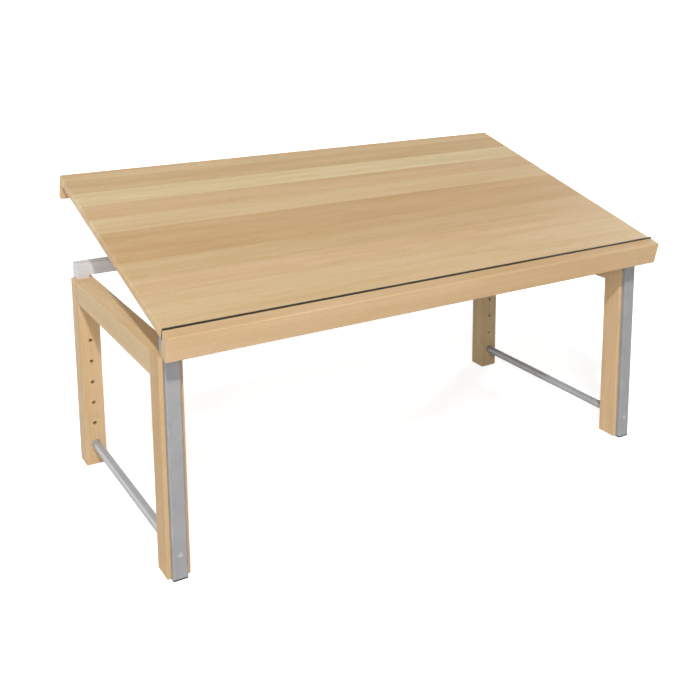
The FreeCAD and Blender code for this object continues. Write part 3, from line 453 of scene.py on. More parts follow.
def zinc(name, stretch, roughness):
    """Zinc on steel, with its lines or grain at so many in a metre along x, y and z."""
    made, tree = material(name)
    where = add(tree, "ShaderNodeTexCoord")
    drawn = add(tree, "ShaderNodeMapping", {"Vector": where.outputs["Object"], "Scale": stretch})
    brushed = add(tree, "ShaderNodeTexNoise", {"Vector": drawn, "Scale": 1, "Detail": 3})
    cast = add(tree, "ShaderNodeTexNoise", {"Vector": where.outputs["Object"],
                                            "Scale": CASTS_IN_A_METRE, "Detail": 2})
    tint = add(tree, "ShaderNodeValToRGB", {"Fac": cast})
    steps(tint, CASTS, smooth=True)
    gloss = add(tree, "ShaderNodeMapRange", {"Value": brushed, "To Min": roughness - 0.08,
                                             "To Max": roughness + 0.08})
    scratch = add(tree, "ShaderNodeBump", {"Height": brushed, "Distance": SCRATCH_DEPTH * MM,
                                           "Strength": 0.5})
    shader = add(tree, "ShaderNodeBsdfPrincipled", {
        "Base Color": tint, "Roughness": gloss, "Normal": scratch, "Metallic": 1})
    add(tree, "ShaderNodeOutputMaterial", {"Surface": shader})
    return made


zinc_sheet = zinc("zinc_plated_rolled_steel", ROLLED, 0.34)
zinc_fastener = zinc("zinc_plated_cold_headed_steel", PRESSED, 0.28)
wear(zinc_sheet, [f"{h}_{n}" for h in HANDS for n in ("hinge_clevis", "hinge_leaf", "stay")])
wear(zinc_fastener, ["clamp_spacers", "clamp_washers", "hinge_pins", "hinge_pin_rings",
                     "stretcher_bolts", "stretcher_washers", "stretcher_inserts"])

# %% [markdown]
# ## Moulded plastic, rubber, felt and the dark strip
# Plastic parts get their surface from a spark-eroded mould: tiny pits that make the
# shine soft. Rubber is duller, felt is a mat of fibres, and the strip along the front
# is hardwood stained almost black. Each could have nodes of its own, but they differ
# only in colour, in the size of their pattern and in how much it stands up, so one
# function serves them all.

# %% Moulded and felted finishes


def moulded(name, light, dark, pattern, depth, roughness, sheen=0.0):
    """A finish whose pattern is so many millimetres across and so many deep."""
    made, tree = material(name)
    where = add(tree, "ShaderNodeTexCoord")
    pits = add(tree, "ShaderNodeTexNoise", {"Vector": where.outputs["Object"],
                                            "Scale": 1 / (pattern * MM), "Detail": 3})
    colour = add(tree, "ShaderNodeMix", {"Factor": pits, "A": srgb(dark), "B": srgb(light)},
                 data_type="RGBA")
    gloss = add(tree, "ShaderNodeMapRange", {"Value": pits, "To Min": roughness - 0.06,
                                             "To Max": roughness + 0.06})
    skin = add(tree, "ShaderNodeBump", {"Height": pits, "Distance": depth * MM, "Strength": 0.7})
    shader = add(tree, "ShaderNodeBsdfPrincipled", {
        "Base Color": colour, "Roughness": gloss, "Normal": skin, "IOR": 1.5,
        "Specular IOR Level": 0.3, "Sheen Weight": sheen})
    add(tree, "ShaderNodeOutputMaterial", {"Surface": shader})
    return made


black_plastic = moulded("moulded_black_nylon", "#181819", "#0F0F10", 0.8, 0.03, 0.48)
grey_plastic = moulded("moulded_grey_polythene", "#B5B5B5", "#A9A9A9", 1.2, 0.02, 0.38)
rubber = moulded("moulded_black_rubber", "#2A2928", "#1B1A1A", 1.5, 0.05, 0.7)
felt = moulded("pressed_dark_felt", "#4A4642", "#2E2B28", 0.9, 0.25, 0.95, sheen=0.3)
dark_strip = moulded("dark_stained_hardwood", "#30281F", "#1C1713", 2.5, 0.04, 0.5)
wear(black_plastic, [f"{h}_{e}_glide" for h in HANDS for e in ("front", "rear")])
wear(felt, ["leg_pads"])
wear(dark_strip, ["stop_strip"])

# %% [markdown]
# ## Growing pieces with Geometry Nodes
# Screws, knobs and welds repeat. Each could be modelled once and copied by hand, but a
# Geometry Nodes tree with its sizes as named inputs describes a whole kind at once. The
# tree is run on a few loose points, each with an axis that says which way its copy
# stands, or on a path. What it makes is kept as a plain mesh at the origin, because that
# is all a CAD program, a printer or a game will take.

# %% A Geometry Nodes tree and how it ends


def sized_tree(name, sizes):
    """A geometry tree whose inputs are a geometry, these sizes and a finish."""
    tree = bpy.data.node_groups.new(name, "GeometryNodeTree")
    tree.interface.new_socket("Geometry", in_out="OUTPUT", socket_type="NodeSocketGeometry")
    tree.interface.new_socket("Geometry", in_out="INPUT", socket_type="NodeSocketGeometry")
    for size in sizes:
        tree.interface.new_socket(size, in_out="INPUT", socket_type="NodeSocketFloat")
    tree.interface.new_socket("Finish", in_out="INPUT", socket_type="NodeSocketMaterial")
    return tree, add(tree, "NodeGroupInput").outputs


def end_tree(tree, given, made):
    """Turn copies into real mesh, give it the finish, and send it out."""
    real = add(tree, "GeometryNodeRealizeInstances", {"Geometry": made})
    coated = add(tree, "GeometryNodeSetMaterial", {"Geometry": real, "Material": given["Finish"]})
    add(tree, "NodeGroupOutput", {"Geometry": coated})
    print(tree.name, "is made of", len(tree.nodes), "nodes")


# %% [markdown]
# ## Running a tree and hanging up what it made
# A tree does its work as a modifier on a mesh of points. The modifier could stay on the
# piece, but a plain mesh is safer to hand on, so the result is copied and the modifier
# goes. Round faces are then shaded smooth and edges are kept sharp, and the piece is
# hung on the body that it moves with. The CAD nodes that it stands in for are hidden.

# %% Running a tree and hanging up what it made
SHARP_EDGE = math.radians(40)


def grow(name, tree, points, sizes, finish, axes=(), edges=()):
    """Run a tree on points and paths, with sizes in millimetres, and keep a plain mesh."""
    start = bpy.data.meshes.new(name)
    start.from_pydata([tuple(point) for point in points], edges, [])
    if axes:
        held = start.attributes.new("axis", "FLOAT_VECTOR", "POINT")
        for item, axis in zip(held.data, axes):
            item.vector = axis
    piece = bpy.data.objects.new(name, start)
    bpy.context.scene.collection.objects.link(piece)
    grower = piece.modifiers.new("grower", "NODES")
    grower.node_group = tree
    for socket in tree.interface.items_tree:
        if socket.name in sizes:
            grower[socket.identifier] = sizes[socket.name] * MM
        elif socket.name == "Finish":
            grower[socket.identifier] = finish
    ready = piece.evaluated_get(bpy.context.evaluated_depsgraph_get())
    piece.data = bpy.data.meshes.new_from_object(ready)
    piece.modifiers.remove(grower)
    return piece


def fit(piece, body, slot, *nodes):
    """Smooth a finished piece's round faces and hang it on its body, for these CAD nodes."""
    piece.data.shade_smooth()
    piece.data.set_sharp_from_angle(angle=SHARP_EDGE)
    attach(piece, body)
    if nodes:
        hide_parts(*nodes)
    print(piece.name, "has", len(piece.data.polygons), "faces and rides on", body)


print("edges stay sharp from", round(math.degrees(SHARP_EDGE)), "degrees")

# %% [markdown]
# ## Pan-head screws
# A screw's head is pressed cold from wire, which leaves a low dome over a straight
# shank. The head could be a spun outline, but the upper half of a ball does as well: its
# lower half is pushed flat, and a power of its height makes the top flatter and the rim
# rounder. The shank is a cone that starts inside the head, so that the two can be joined
# into one solid. Copies of the screw are set on the points along their axes, and each is
# turned by chance, as nobody lines screws up by hand.

# %% Pan-head screws
PAN_FULLNESS = 0.6                    # 1 is a half ball, less is a flatter top
ROOT_SHARE, TIP_SHARE = 0.3, 0.5      # of the head's height and of the shank's radius
SPIN_SEED = 14


def headed_pin(tree, given):
    """A domed head joined to a tapering shank, with the head's seat at height zero."""
    ball = add(tree, "GeometryNodeMeshUVSphere", {"Segments": 24, "Rings": 12, "Radius": 1})
    place = add(tree, "ShaderNodeSeparateXYZ", {"Vector": add(tree, "GeometryNodeInputPosition")})
    above = add(tree, "ShaderNodeMath", {0: place.outputs["Z"], 1: 0}, operation="MAXIMUM")
    dome = add(tree, "ShaderNodeMath", {0: above, 1: PAN_FULLNESS}, operation="POWER")
    pan = add(tree, "ShaderNodeCombineXYZ", {
        "X": place.outputs["X"], "Y": place.outputs["Y"], "Z": dome})
    spread = add(tree, "ShaderNodeCombineXYZ", {
        "X": given["Head radius"], "Y": given["Head radius"], "Z": given["Head height"]})
    sized = add(tree, "ShaderNodeVectorMath", {0: pan, 1: spread}, operation="MULTIPLY")
    head = add(tree, "GeometryNodeSetPosition", {"Geometry": ball, "Position": sized})

    root = add(tree, "ShaderNodeMath", {0: given["Head height"], 1: ROOT_SHARE},
               operation="MULTIPLY")
    length = add(tree, "ShaderNodeMath", {0: given["Shank length"], 1: root})
    tip = add(tree, "ShaderNodeMath", {0: given["Shank radius"], 1: TIP_SHARE},
              operation="MULTIPLY")
    cone = add(tree, "GeometryNodeMeshCone", {
        "Vertices": 16, "Side Segments": 6, "Radius Top": given["Shank radius"],
        "Radius Bottom": tip, "Depth": length})
    down = add(tree, "ShaderNodeMath", {0: given["Shank length"], 1: -1}, operation="MULTIPLY")
    foot = add(tree, "ShaderNodeCombineXYZ", {"Z": down})
    shank = add(tree, "GeometryNodeTransform", {"Geometry": cone, "Translation": foot})
    return add(tree, "GeometryNodeMeshBoolean", {1: [head, shank]}, operation="UNION",
               solver="EXACT")


def planted(tree, given, shape):
    """Copies of a shape that stand on the points along their axes, each turned by chance."""
    toward = add(tree, "GeometryNodeInputNamedAttribute", {"Name": "axis"},
                 data_type="FLOAT_VECTOR")
    upright = add(tree, "FunctionNodeAlignRotationToVector", {"Vector": toward}, axis="Z")
    copies = add(tree, "GeometryNodeInstanceOnPoints", {
        "Points": given["Geometry"], "Instance": shape, "Rotation": upright})
    turn = add(tree, "FunctionNodeRandomValue", {2: 0.0, 3: math.tau, "Seed": SPIN_SEED})
    spin = add(tree, "ShaderNodeCombineXYZ", {"Z": turn})
    return add(tree, "GeometryNodeRotateInstances", {
        "Instances": copies, "Rotation": spin, "Local Space": True})


print("a shank starts", ROOT_SHARE, "of the head's height inside the head")

# %% [markdown]
# ## The driver's recess
# The recess in a screw's head has crisp walls, which a bump in a material can't give.
# The walls could be modelled face by face, but it is simpler to cut them: with two
# crossed blades for wood screws, and with a six-sided bar for machine screws. A cutter
# stands half in the head, so it is twice as deep as the recess.

# %% The driver's recess
BLADE_SHARE = 0.26     # a blade's thickness as a share of its width


def screw_tree(name, blades):
    """Screws whose recess is cut by two crossed blades, or by a six-sided bar."""
    tree, given = sized_tree(name, ("Head radius", "Head height", "Shank radius",
                                    "Shank length", "Recess width", "Recess depth"))
    pin = headed_pin(tree, given)
    width = given["Recess width"]
    deep = add(tree, "ShaderNodeMath", {0: given["Recess depth"], 1: 2}, operation="MULTIPLY")
    if blades:
        thin = add(tree, "ShaderNodeMath", {0: width, 1: BLADE_SHARE}, operation="MULTIPLY")
        cutters = [add(tree, "GeometryNodeMeshCube", {"Size": add(
            tree, "ShaderNodeCombineXYZ", {"X": along, "Y": across, "Z": deep})})
            for along, across in ((width, thin), (thin, width))]
    else:
        corner = add(tree, "ShaderNodeMath", {0: width, 1: 0.5}, operation="MULTIPLY")
        cutters = [add(tree, "GeometryNodeMeshCylinder", {
            "Vertices": 6, "Radius": corner, "Depth": deep})]
    top = add(tree, "ShaderNodeCombineXYZ", {"Z": given["Head height"]})
    raised = [add(tree, "GeometryNodeTransform", {"Geometry": cutter, "Translation": top})
              for cutter in cutters]
    screw = add(tree, "GeometryNodeMeshBoolean", {0: pin, 1: raised}, operation="DIFFERENCE",
                solver="EXACT")
    end_tree(tree, given, planted(tree, given, screw))
    return tree


cross_screw = screw_tree("cross_recess_screw", blades=True)
socket_screw = screw_tree("socket_screw", blades=False)

# %% [markdown]
# ## Screws in their places
# Five screws hold each batten under the board, four each hinge leaf, three each stay,
# and two socket screws each clevis on the front bar. They could be placed by eye, but
# their heads have to sit on the metal or at the bottom of their sinks. So each seat is
# written as on a drawing: the battens, leaves and stays in the top's own directions, and
# the clevises in the room's.

# %% Screws in their places
WOOD_SCREW = {"Head radius": 4, "Head height": 2.2, "Shank radius": 2, "Recess width": 4.2,
              "Recess depth": 1.4}
MACHINE_SCREW = {"Head radius": 4.5, "Head height": 2.5, "Shank radius": 2.5, "Shank length": 10,
                 "Recess width": 3.4, "Recess depth": 1.6}
UNDER_TOP = TOP_FRAME.to_3x3() @ Vector((0, 0, -1))
# How high the seats lie over the hinge line, and where they are along the top and across
SINK_Z, BATTEN_ROWS = 1.4, range(74, 555, 120)
LEAF_Z, LEAF_XS, LEAF_YS = 9.4, (-23, 23), (-13, 13)
STAY_X, STAY_Z, STAY_YS = 376, 2.9, (446, 480, 514)
CLEVIS_TOP, CLEVIS_XS = BAR_TOP + 3, (-28, 28)

for name, node, length, seats in (
    ("batten_pan_screws", "batten_screws", 23, [
        (on_top(side * BEARER_X, y, SINK_Z), UNDER_TOP) for side in SIDES for y in BATTEN_ROWS]),
    ("hinge_leaf_pan_screws", "leaf_screws", 15, [
        (on_top(side * BEARER_X + x, y, LEAF_Z), UNDER_TOP)
        for side in SIDES for x in LEAF_XS for y in LEAF_YS]),
    ("stay_pan_screws", "stay_screws", 16, [
        (on_top(side * STAY_X, y, STAY_Z), (-side, 0, 0)) for side in SIDES for y in STAY_YS]),
):
    points, axes = zip(*seats)
    screws = grow(name, cross_screw, points, {**WOOD_SCREW, "Shank length": length},
                  zinc_fastener, axes)
    fit(screws, "tilting_top", "zinc_plated_fastener", node)

clevis_seats = [Vector((side * BEARER_X + x, FRONT_BAR_Y, CLEVIS_TOP)) * MM
                for side in SIDES for x in CLEVIS_XS]
fit(grow("clevis_socket_screws", socket_screw, clevis_seats, MACHINE_SCREW, zinc_fastener,
         axes=[(0, 0, 1)] * len(clevis_seats)),
    "lift_frame", "zinc_plated_fastener", "clevis_screws")

# %% [markdown]
# ## The star knob's edge
# The two knobs that clamp the stays are moulded in black nylon, with six hollows for the
# fingers. A knob could be cut from a disc with six round bars, but then its hollows meet
# the rim in sharp edges. Here it is a bent drum: each point's distance from the axis
# comes from its angle, by how far off the edge of the nearest hollow is. The hollow's
# edge is a circle, so its distance follows from the sides of a right-angled triangle,
# and a smooth minimum blends it into the knob's own radius.

# %% The star knob's edge
FINGERS = 6
EDGE_BLEND = 2.5


def lobed_edge(tree, given, place):
    """How far from the axis the knob's edge lies, at the angle of each place."""
    half_lobe = math.pi / FINGERS
    angle = add(tree, "ShaderNodeMath", {0: place.outputs["Y"], 1: place.outputs["X"]},
                operation="ARCTAN2")
    lobe = add(tree, "ShaderNodeMath", {0: angle, 1: half_lobe, 2: -half_lobe}, operation="WRAP")
    cosine = add(tree, "ShaderNodeMath", {0: lobe}, operation="COSINE")
    sine = add(tree, "ShaderNodeMath", {0: lobe}, operation="SINE")
    ahead = add(tree, "ShaderNodeMath", {0: cosine, 1: given["Hollow centre"]},
                operation="MULTIPLY")
    aside = add(tree, "ShaderNodeMath", {0: sine, 1: given["Hollow centre"]},
                operation="MULTIPLY")
    aside_squared = add(tree, "ShaderNodeMath", {0: aside, 1: 2}, operation="POWER")
    hollow_squared = add(tree, "ShaderNodeMath", {0: given["Hollow radius"], 1: 2},
                         operation="POWER")
    left = add(tree, "ShaderNodeMath", {0: hollow_squared, 1: aside_squared},
               operation="SUBTRACT")
    back = add(tree, "ShaderNodeMath", {0: left}, operation="SQRT")
    edge = add(tree, "ShaderNodeMath", {0: ahead, 1: back}, operation="SUBTRACT")
    return add(tree, "ShaderNodeMath", {0: edge, 1: given["Radius"], 2: EDGE_BLEND * MM},
               operation="SMOOTH_MIN")


print("a lobe takes", 360 / FINGERS, "degrees")

# %% [markdown]
# ## The star knob's rims
# Both rims of the knob are rounded for the hand. A bevel could do it, but it would run
# wild where the hollows blend in. So the wall is drawn in by a quarter circle instead:
# nothing over the straight part of the height, and the full rounding at the very rim.

# %% The star knob's rims


def rim_inset(tree, given, place, half):
    """How far in the rims are rounded, at the height of each place."""
    level = add(tree, "ShaderNodeMath", {0: place.outputs["Z"]}, operation="ABSOLUTE")
    high = add(tree, "ShaderNodeMath", {0: level, 1: given["Height"]}, operation="MULTIPLY")
    straight = add(tree, "ShaderNodeMath", {0: half, 1: given["Rounding"]},
                   operation="SUBTRACT")
    over = add(tree, "ShaderNodeMath", {0: high, 1: straight}, operation="SUBTRACT")
    share = add(tree, "ShaderNodeMath", {0: over, 1: given["Rounding"]}, operation="DIVIDE",
                use_clamp=True)
    squared = add(tree, "ShaderNodeMath", {0: share, 1: 2}, operation="POWER")
    rest = add(tree, "ShaderNodeMath", {0: 1, 1: squared}, operation="SUBTRACT")
    kept = add(tree, "ShaderNodeMath", {0: rest}, operation="SQRT")
    lost = add(tree, "ShaderNodeMath", {0: 1, 1: kept}, operation="SUBTRACT")
    return add(tree, "ShaderNodeMath", {0: lost, 1: given["Rounding"]}, operation="MULTIPLY")


KNOB = {"Radius": 20, "Height": 14, "Rounding": 2.6, "Hollow radius": 7, "Hollow centre": 23.5,
        "Hub radius": 9, "Hub height": 6, "Bore radius": 4.05, "Bore depth": 13.05}
print("each rim takes", KNOB["Rounding"], "mm of the knob's", KNOB["Height"], "mm")

# %% [markdown]
# ## Star knobs on their bolts
# A hub joins the knob to its clamp, and a bore takes the bolt's end. Star, hub and bore
# could be three meshes that overlap, but a printer wants one closed solid, so the hub is
# joined on and the bore is cut out. Each knob stands on the inner face of its clamp, and
# its axis points to the middle of the desk.

# %% Star knobs on their bolts
CLAMP_Y, CLAMP_Z = 207.87, 461
HUB_FACE_X = 374.2


def knob_tree():
    """A lobed drum on a hub, with a bore for the bolt."""
    tree, given = sized_tree("star_knob", KNOB)
    drum = add(tree, "GeometryNodeMeshCylinder", {
        "Vertices": 120, "Side Segments": 14, "Fill Segments": 5, "Radius": 1, "Depth": 1},
        fill_type="TRIANGLE_FAN")
    spot = add(tree, "GeometryNodeInputPosition")
    place = add(tree, "ShaderNodeSeparateXYZ", {"Vector": spot})
    half = add(tree, "ShaderNodeMath", {0: given["Height"], 1: 0.5}, operation="MULTIPLY")
    wall = add(tree, "ShaderNodeMath", {
        0: lobed_edge(tree, given, place), 1: rim_inset(tree, given, place, half)},
        operation="SUBTRACT")
    flat = add(tree, "ShaderNodeVectorMath", {0: spot, 1: (1, 1, 0)}, operation="MULTIPLY")
    bent = add(tree, "ShaderNodeVectorMath", {0: flat, "Scale": wall}, operation="SCALE")
    centre = add(tree, "ShaderNodeMath", {0: given["Hub height"], 1: half})
    height = add(tree, "ShaderNodeMath", {0: place.outputs["Z"], 1: given["Height"], 2: centre},
                 operation="MULTIPLY_ADD")
    stood = add(tree, "ShaderNodeCombineXYZ", {"Z": height})
    moved = add(tree, "ShaderNodeVectorMath", {0: bent, 1: stood})
    star = add(tree, "GeometryNodeSetPosition", {"Geometry": drum, "Position": moved})

    hub = add(tree, "GeometryNodeMeshCylinder", {
        "Vertices": 40, "Radius": given["Hub radius"], "Depth": centre})
    hub_middle = add(tree, "ShaderNodeMath", {0: centre, 1: 0.5}, operation="MULTIPLY")
    hub_place = add(tree, "ShaderNodeCombineXYZ", {"Z": hub_middle})
    stub = add(tree, "GeometryNodeTransform", {"Geometry": hub, "Translation": hub_place})
    whole = add(tree, "GeometryNodeMeshBoolean", {1: [star, stub]}, operation="UNION",
                solver="EXACT")
    twice = add(tree, "ShaderNodeMath", {0: given["Bore depth"], 1: 2}, operation="MULTIPLY")
    bore = add(tree, "GeometryNodeMeshCylinder", {
        "Vertices": 40, "Radius": given["Bore radius"], "Depth": twice})
    knob = add(tree, "GeometryNodeMeshBoolean", {0: whole, 1: bore}, operation="DIFFERENCE",
               solver="EXACT")
    end_tree(tree, given, planted(tree, given, knob))
    return tree


star_knob = knob_tree()
for side, hand in zip(SIDES, HANDS):
    hub_face = Vector((side * HUB_FACE_X, CLAMP_Y, CLAMP_Z)) * MM
    fit(grow(f"{hand}_star_knob", star_knob, [hub_face], KNOB, black_plastic,
             axes=[(-side, 0, 0)]), f"{hand}_clamp_knob", "black_plastic", f"{hand}_clamp_knob")

# %% [markdown]
# ## Weld beads
# The bearers are welded between the crossbars, and the crossbars to the posts. A bead
# laid by hand has small ripples, one for each drop of metal, and rounds off at its ends.
# It could be a smooth tube with a bump, but its ripples show against the light. So the
# tree turns a path into a curve, resamples it six times in a ripple, and sweeps a circle
# along it whose size follows a sine wave with a little noise.

# %% Weld beads
STEPS_IN_RIPPLE = 6
MEAN_SIZE, RIPPLE_HEIGHT, UNEVENNESS = 0.85, 0.11, 0.3     # as shares of the bead's radius
LUMPS_IN_A_METRE = 260                                     # one each 3.8 mm
END_SIZE, END_STEEPNESS = 0.3, 4


def bead_tree():
    """A circle swept along each path, which swells and shrinks with the ripples."""
    tree, given = sized_tree("weld_bead", ("Radius", "Ripple"))
    path = add(tree, "GeometryNodeMeshToCurve", {"Mesh": given["Geometry"]})
    step = add(tree, "ShaderNodeMath", {0: given["Ripple"], 1: 1 / STEPS_IN_RIPPLE},
               operation="MULTIPLY")
    fine = add(tree, "GeometryNodeResampleCurve", {0: path, 3: step}, mode="LENGTH")
    run = add(tree, "GeometryNodeSplineParameter")
    turns = add(tree, "ShaderNodeMath", {0: run.outputs["Length"], 1: given["Ripple"]},
                operation="DIVIDE")
    phase = add(tree, "ShaderNodeMath", {0: turns, 1: math.tau}, operation="MULTIPLY")
    wave = add(tree, "ShaderNodeMath", {0: phase}, operation="SINE")
    ripple = add(tree, "ShaderNodeMath", {0: wave, 1: RIPPLE_HEIGHT, 2: MEAN_SIZE},
                 operation="MULTIPLY_ADD")
    lumps = add(tree, "ShaderNodeTexNoise", {"Scale": LUMPS_IN_A_METRE, "Detail": 1})
    uneven = add(tree, "ShaderNodeMath", {0: lumps, 1: UNEVENNESS, 2: ripple},
                 operation="MULTIPLY_ADD")
    along = add(tree, "ShaderNodeMath", {0: run.outputs["Factor"], 1: math.pi},
                operation="MULTIPLY")
    swell = add(tree, "ShaderNodeMath", {0: along}, operation="SINE")
    rounded = add(tree, "ShaderNodeMath", {0: swell, 1: END_STEEPNESS}, operation="MULTIPLY",
                  use_clamp=True)
    ends = add(tree, "ShaderNodeMath", {0: rounded, 1: 1 - END_SIZE, 2: END_SIZE},
               operation="MULTIPLY_ADD")
    size = add(tree, "ShaderNodeMath", {0: uneven, 1: ends}, operation="MULTIPLY")
    ring = add(tree, "GeometryNodeCurvePrimitiveCircle", {"Resolution": 12,
                                                          "Radius": given["Radius"]})
    bead = add(tree, "GeometryNodeCurveToMesh", {
        "Curve": fine, "Profile Curve": ring, "Scale": size, "Fill Caps": True})
    end_tree(tree, given, bead)
    return tree


weld_bead = bead_tree()

# %% [markdown]
# ## Seams
# Each bearer has a bead down one side, under it and up the other, at both of its ends.
# Each end of a crossbar has one short bead under it, where it meets its post. The seams
# could be drawn as curves by hand. Written as points they follow the tubes' own sizes,
# and all of them together are one mesh of paths.

# %% Seams
POST_X = 556
BEAD = {"Radius": 2, "Ripple": 2.2}
TOP_GAP, CORNER = 1, 2     # a bead stops short of the bar's top and cuts the tube's corners
SHORT_BEAD = 12.5          # half the length of the one under a crossbar
AROUND_TUBE = [(-HALF_TUBE, BAR_TOP - TOP_GAP), (-HALF_TUBE, BAR_UNDER + CORNER),
               (CORNER - HALF_TUBE, BAR_UNDER), (HALF_TUBE - CORNER, BAR_UNDER),
               (HALF_TUBE, BAR_UNDER + CORNER), (HALF_TUBE, BAR_TOP - TOP_GAP)]
seams = [[(side * BEARER_X + x, y, z) for x, z in AROUND_TUBE]
         for side in SIDES for y in (FRONT_BAR_Y + HALF_TUBE, REAR_BAR_Y - HALF_TUBE)]
seams += [[(side * POST_X, y + end, BAR_UNDER) for end in (-SHORT_BEAD, SHORT_BEAD)]
          for side in SIDES for y in (FRONT_BAR_Y, REAR_BAR_Y)]
seam_points = [Vector(point) * MM for seam in seams for point in seam]
seam_edges = []
for seam in seams:
    first = seam_edges[-1][1] + 1 if seam_edges else 0
    seam_edges += [(first + step, first + step + 1) for step in range(len(seam) - 1)]
print(len(seams), "seams on", len(seam_points), "points")
# The beads share the frame's lighter grey, which is painted light.
fit(grow("weld_beads", weld_bead, seam_points, BEAD, frame_coat_painted_light, edges=seam_edges),
    "lift_frame", "grey_steel_tube")

# %% [markdown]
# ## Turned and moulded rounds
# The plugs over the bolt holes, the rubber pads and the heads of the clamp bolts are
# round. They could be built up from cylinders, but their dished faces and rolled rims
# show best as an outline, as on a lathe. So each is drawn by half of its outline, and
# the function spins that about an axis. The line starts and ends on the axis, where one
# point closes the pole.

# %% Spinning an outline
ROUND_SIDES = 48


def turned(name, outline, stands, finish):
    """Spin an outline of (radius, height) in millimetres about each place's axis."""
    shape = bmesh.new()
    for place, axis in stands:
        stand = Matrix.Translation(Vector(place) * MM) @ Vector(axis).to_track_quat(
            "Z", "Y").to_matrix().to_4x4()
        rings = []
        for radius, height in outline:
            count = ROUND_SIDES if radius else 1
            rings.append([shape.verts.new(stand @ (Vector((
                radius * math.cos(math.tau * i / count), radius * math.sin(math.tau * i / count),
                height)) * MM)) for i in range(count)])
        for low, high in zip(rings, rings[1:]):
            for i in range(ROUND_SIDES):
                corners = [low[i % len(low)], low[(i + 1) % len(low)],
                           high[(i + 1) % len(high)], high[i % len(high)]]
                shape.faces.new(dict.fromkeys(corners))
    bmesh.ops.recalc_face_normals(shape, faces=shape.faces)
    mesh = bpy.data.meshes.new(name)
    shape.to_mesh(mesh)
    shape.free()
    mesh.materials.append(finish)
    piece = bpy.data.objects.new(name, mesh)
    bpy.context.scene.collection.objects.link(piece)
    return piece


print("a round has", ROUND_SIDES, "sides")

# %% [markdown]
# ## Plugs, pads and bolts
# A flexible plug closes the hole over each stretcher bolt: it has a stem in the hole, a
# rounded rim on the tube and a dished face. The level top comes down on two rubber pads
# with soft edges. A clamp bolt has a straight shank and a low mushroom head on the
# outside of its bearer. All three could be kept as plain CAD rounds. Only their rims
# catch the light, so the rims are what these outlines add.

# %% Plugs, pads and bolts
PLUG = [(0, -2), (4.3, -2), (4.5, -1.7), (4.5, 0), (5.3, 0), (5.5, 0.25), (5.4, 0.6),
        (5.0, 0.8), (4.5, 0.7), (4.1, 0.2), (4, -1), (3.7, -1.3), (0, -1.3)]
PAD = [(0, 0), (11, 0), (11, 2.6), (10.7, 3.4), (10.1, 3.85), (9.2, 4), (0, 4)]
BOLT = [(0, -53.8), (3.4, -53.8), (4, -53.2), (4, 0), (9, 0), (9, 1), (8.4, 2.1), (7, 3.1),
        (5, 3.7), (2.6, 3.95), (0, 4)]
PLUG_X, PLUG_Z = POST_X + HALF_TUBE, 52
plug_stands = [((side * PLUG_X, bar_y + facing * HALF_TUBE, PLUG_Z), (0, facing, 0))
               for side in SIDES for bar_y, facing in ((FRONT_BAR_Y, -1), (REAR_BAR_Y, 1))]
pad_stands = [((side * BEARER_X, REAR_BAR_Y, BAR_TOP), (0, 0, 1)) for side in SIDES]
bolt_stands = [((side * (BEARER_X + HALF_TUBE), CLAMP_Y, CLAMP_Z), (side, 0, 0))
               for side in SIDES]
fit(turned("dished_access_plugs", PLUG, plug_stands, grey_plastic),
    "lift_frame", "grey_plastic", "access_plugs")
fit(turned("rubber_rest_pads", PAD, pad_stands, rubber),
    "lift_frame", "black_rubber", "rest_pads")
fit(turned("clamp_mushroom_bolts", BOLT, bolt_stands, zinc_fastener),
    "lift_frame", "zinc_plated_fastener", "clamp_bolts")

# %% [markdown]
# ## Lamps
# A strong key lamp stands far behind the camera and well above it, and draws the shadow
# under the front rail. A weaker one, as far off as the sun, shines from high on the
# left. One picture of a studio wrapped round the desk could light it, but then its
# shadows would be soft everywhere. Soft lamps near the camera, on the left, behind the
# desk and at its right rear open up the faces that the key misses. Together they light a
# surface that faces them about fully, so a colour renders as it is written.

# %% Lamps
# Each lamp's place in metres, its watts and the radius of its bulb in metres
POINT_LAMPS = {
    "key_lamp": ((-2.59, -5.24, 6.3), 1800, 0.2),
    "camera_fill": ((-2.3, -4.3, 2.3), 260, 0.5),
    "low_fill": ((-0.6, -4.6, 1), 60, 0.5),
    "left_fill": ((-4.5, -1.5, 1.5), 90, 0.5),
    "rear_fill": ((-3, 3.5, 0.8), 130, 0.5),
    "right_fill": ((4.2, 2.6, 1.5), 320, 0.5),
}
for name, (place, power, bulb) in POINT_LAMPS.items():
    lamp = bpy.data.lights.new(name, "POINT")
    lamp.energy = power
    lamp.shadow_soft_size = bulb
    holder = bpy.data.objects.new(name, lamp)
    holder.location = place
    bpy.context.scene.collection.objects.link(holder)

SUN_WHITE, SUN_FROM = 0.14, (-1, -0.594, 1.9)     # the share of white that it adds
sun = bpy.data.lights.new("left_lamp", "SUN")
sun.energy = SUN_WHITE * math.pi
sun.angle = math.radians(5)
sun_holder = bpy.data.objects.new("left_lamp", sun)
sun_holder.rotation_mode = "QUATERNION"
sun_holder.rotation_quaternion = Vector(SUN_FROM).to_track_quat("Z", "Y")
bpy.context.scene.collection.objects.link(sun_holder)
print(len(POINT_LAMPS), "lamps and a distant one")

# %% [markdown]
# ## White sky
# A dim white sky fills in the last of the shade. Behind the desk it has to look pure
# white. It could be as bright as it looks, but then it would wash out every shadow. So
# it has two strengths: full for a ray that the camera sends, or that gloss or glass
# passes on, and dim for a ray that lights a surface.

# %% White sky
SKY = 0.05
world = bpy.data.worlds.new("white_sky")
world.use_nodes = True
world.node_tree.nodes.clear()
bpy.context.scene.world = world


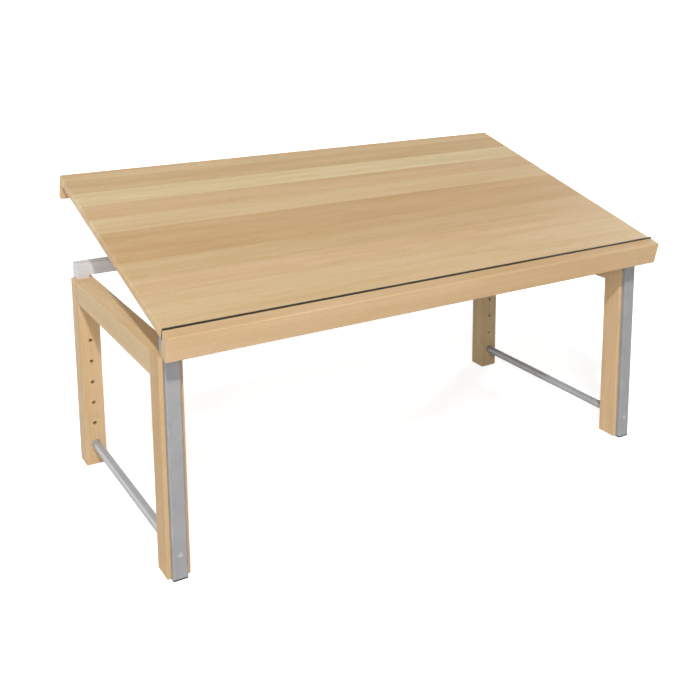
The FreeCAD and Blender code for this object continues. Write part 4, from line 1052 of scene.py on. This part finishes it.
def seen_by_eye(tree):
    """One for a ray that the camera, gloss or glass sends, and none for a ray of light."""
    ray = add(tree, "ShaderNodeLightPath")
    seen = add(tree, "ShaderNodeMath", {0: ray.outputs["Is Camera Ray"],
                                        1: ray.outputs["Is Glossy Ray"]}, operation="MAXIMUM")
    return add(tree, "ShaderNodeMath", {0: seen, 1: ray.outputs["Is Transmission Ray"]},
               operation="MAXIMUM")


sky = world.node_tree
strength = add(sky, "ShaderNodeMapRange", {"Value": seen_by_eye(sky), "To Min": SKY, "To Max": 1})
light = add(sky, "ShaderNodeBackground", {"Color": (1, 1, 1, 1), "Strength": strength})
add(sky, "ShaderNodeOutputWorld", {"Surface": light})
print("the sky lights at", SKY, "and looks white")

# %% [markdown]
# ## Floor
# The desk stands on a white studio floor without an edge to be seen. More light could
# make a pale floor white, but it would burn out the desk as well. So the floor is a
# matt, pale grey that glows a little, only for rays that the camera, gloss or glass
# sends. The glow grows from the desk outwards until the floor is as white as the sky,
# and the desk's own shadow stays.

# %% Floor
GLOW_NEAR, GLOW_FAR = (1, 0.8), (4, 1)     # metres from the middle, and strength
floor_white, floor_tree = material("white_studio_floor")
matt = add(floor_tree, "ShaderNodeBsdfPrincipled", {
    "Base Color": srgb("#CFCFCF"), "Roughness": 1, "Specular IOR Level": 0})
where = add(floor_tree, "ShaderNodeTexCoord")
far = add(floor_tree, "ShaderNodeVectorMath", {0: where.outputs["Object"]}, operation="LENGTH")
white = add(floor_tree, "ShaderNodeMapRange", {
    "Value": far.outputs["Value"], "From Min": GLOW_NEAR[0], "From Max": GLOW_FAR[0],
    "To Min": GLOW_NEAR[1], "To Max": GLOW_FAR[1]}, interpolation_type="SMOOTHSTEP")
glow = add(floor_tree, "ShaderNodeEmission", {"Color": (1, 1, 1, 1), "Strength": white})
lit = add(floor_tree, "ShaderNodeAddShader", {0: matt, 1: glow})
shown = add(floor_tree, "ShaderNodeMixShader", {0: seen_by_eye(floor_tree), 1: matt, 2: lit})
add(floor_tree, "ShaderNodeOutputMaterial", {"Surface": shown})

bpy.ops.mesh.primitive_plane_add(size=60, location=(0, 0, 0))
floor = bpy.context.object
floor.name = "studio_floor"
floor.data.materials.append(floor_white)
bpy.context.scene.view_settings.view_transform = "Standard"
print("the floor is", [round(side, 1) for side in floor.dimensions], "metres")

# %% [markdown]
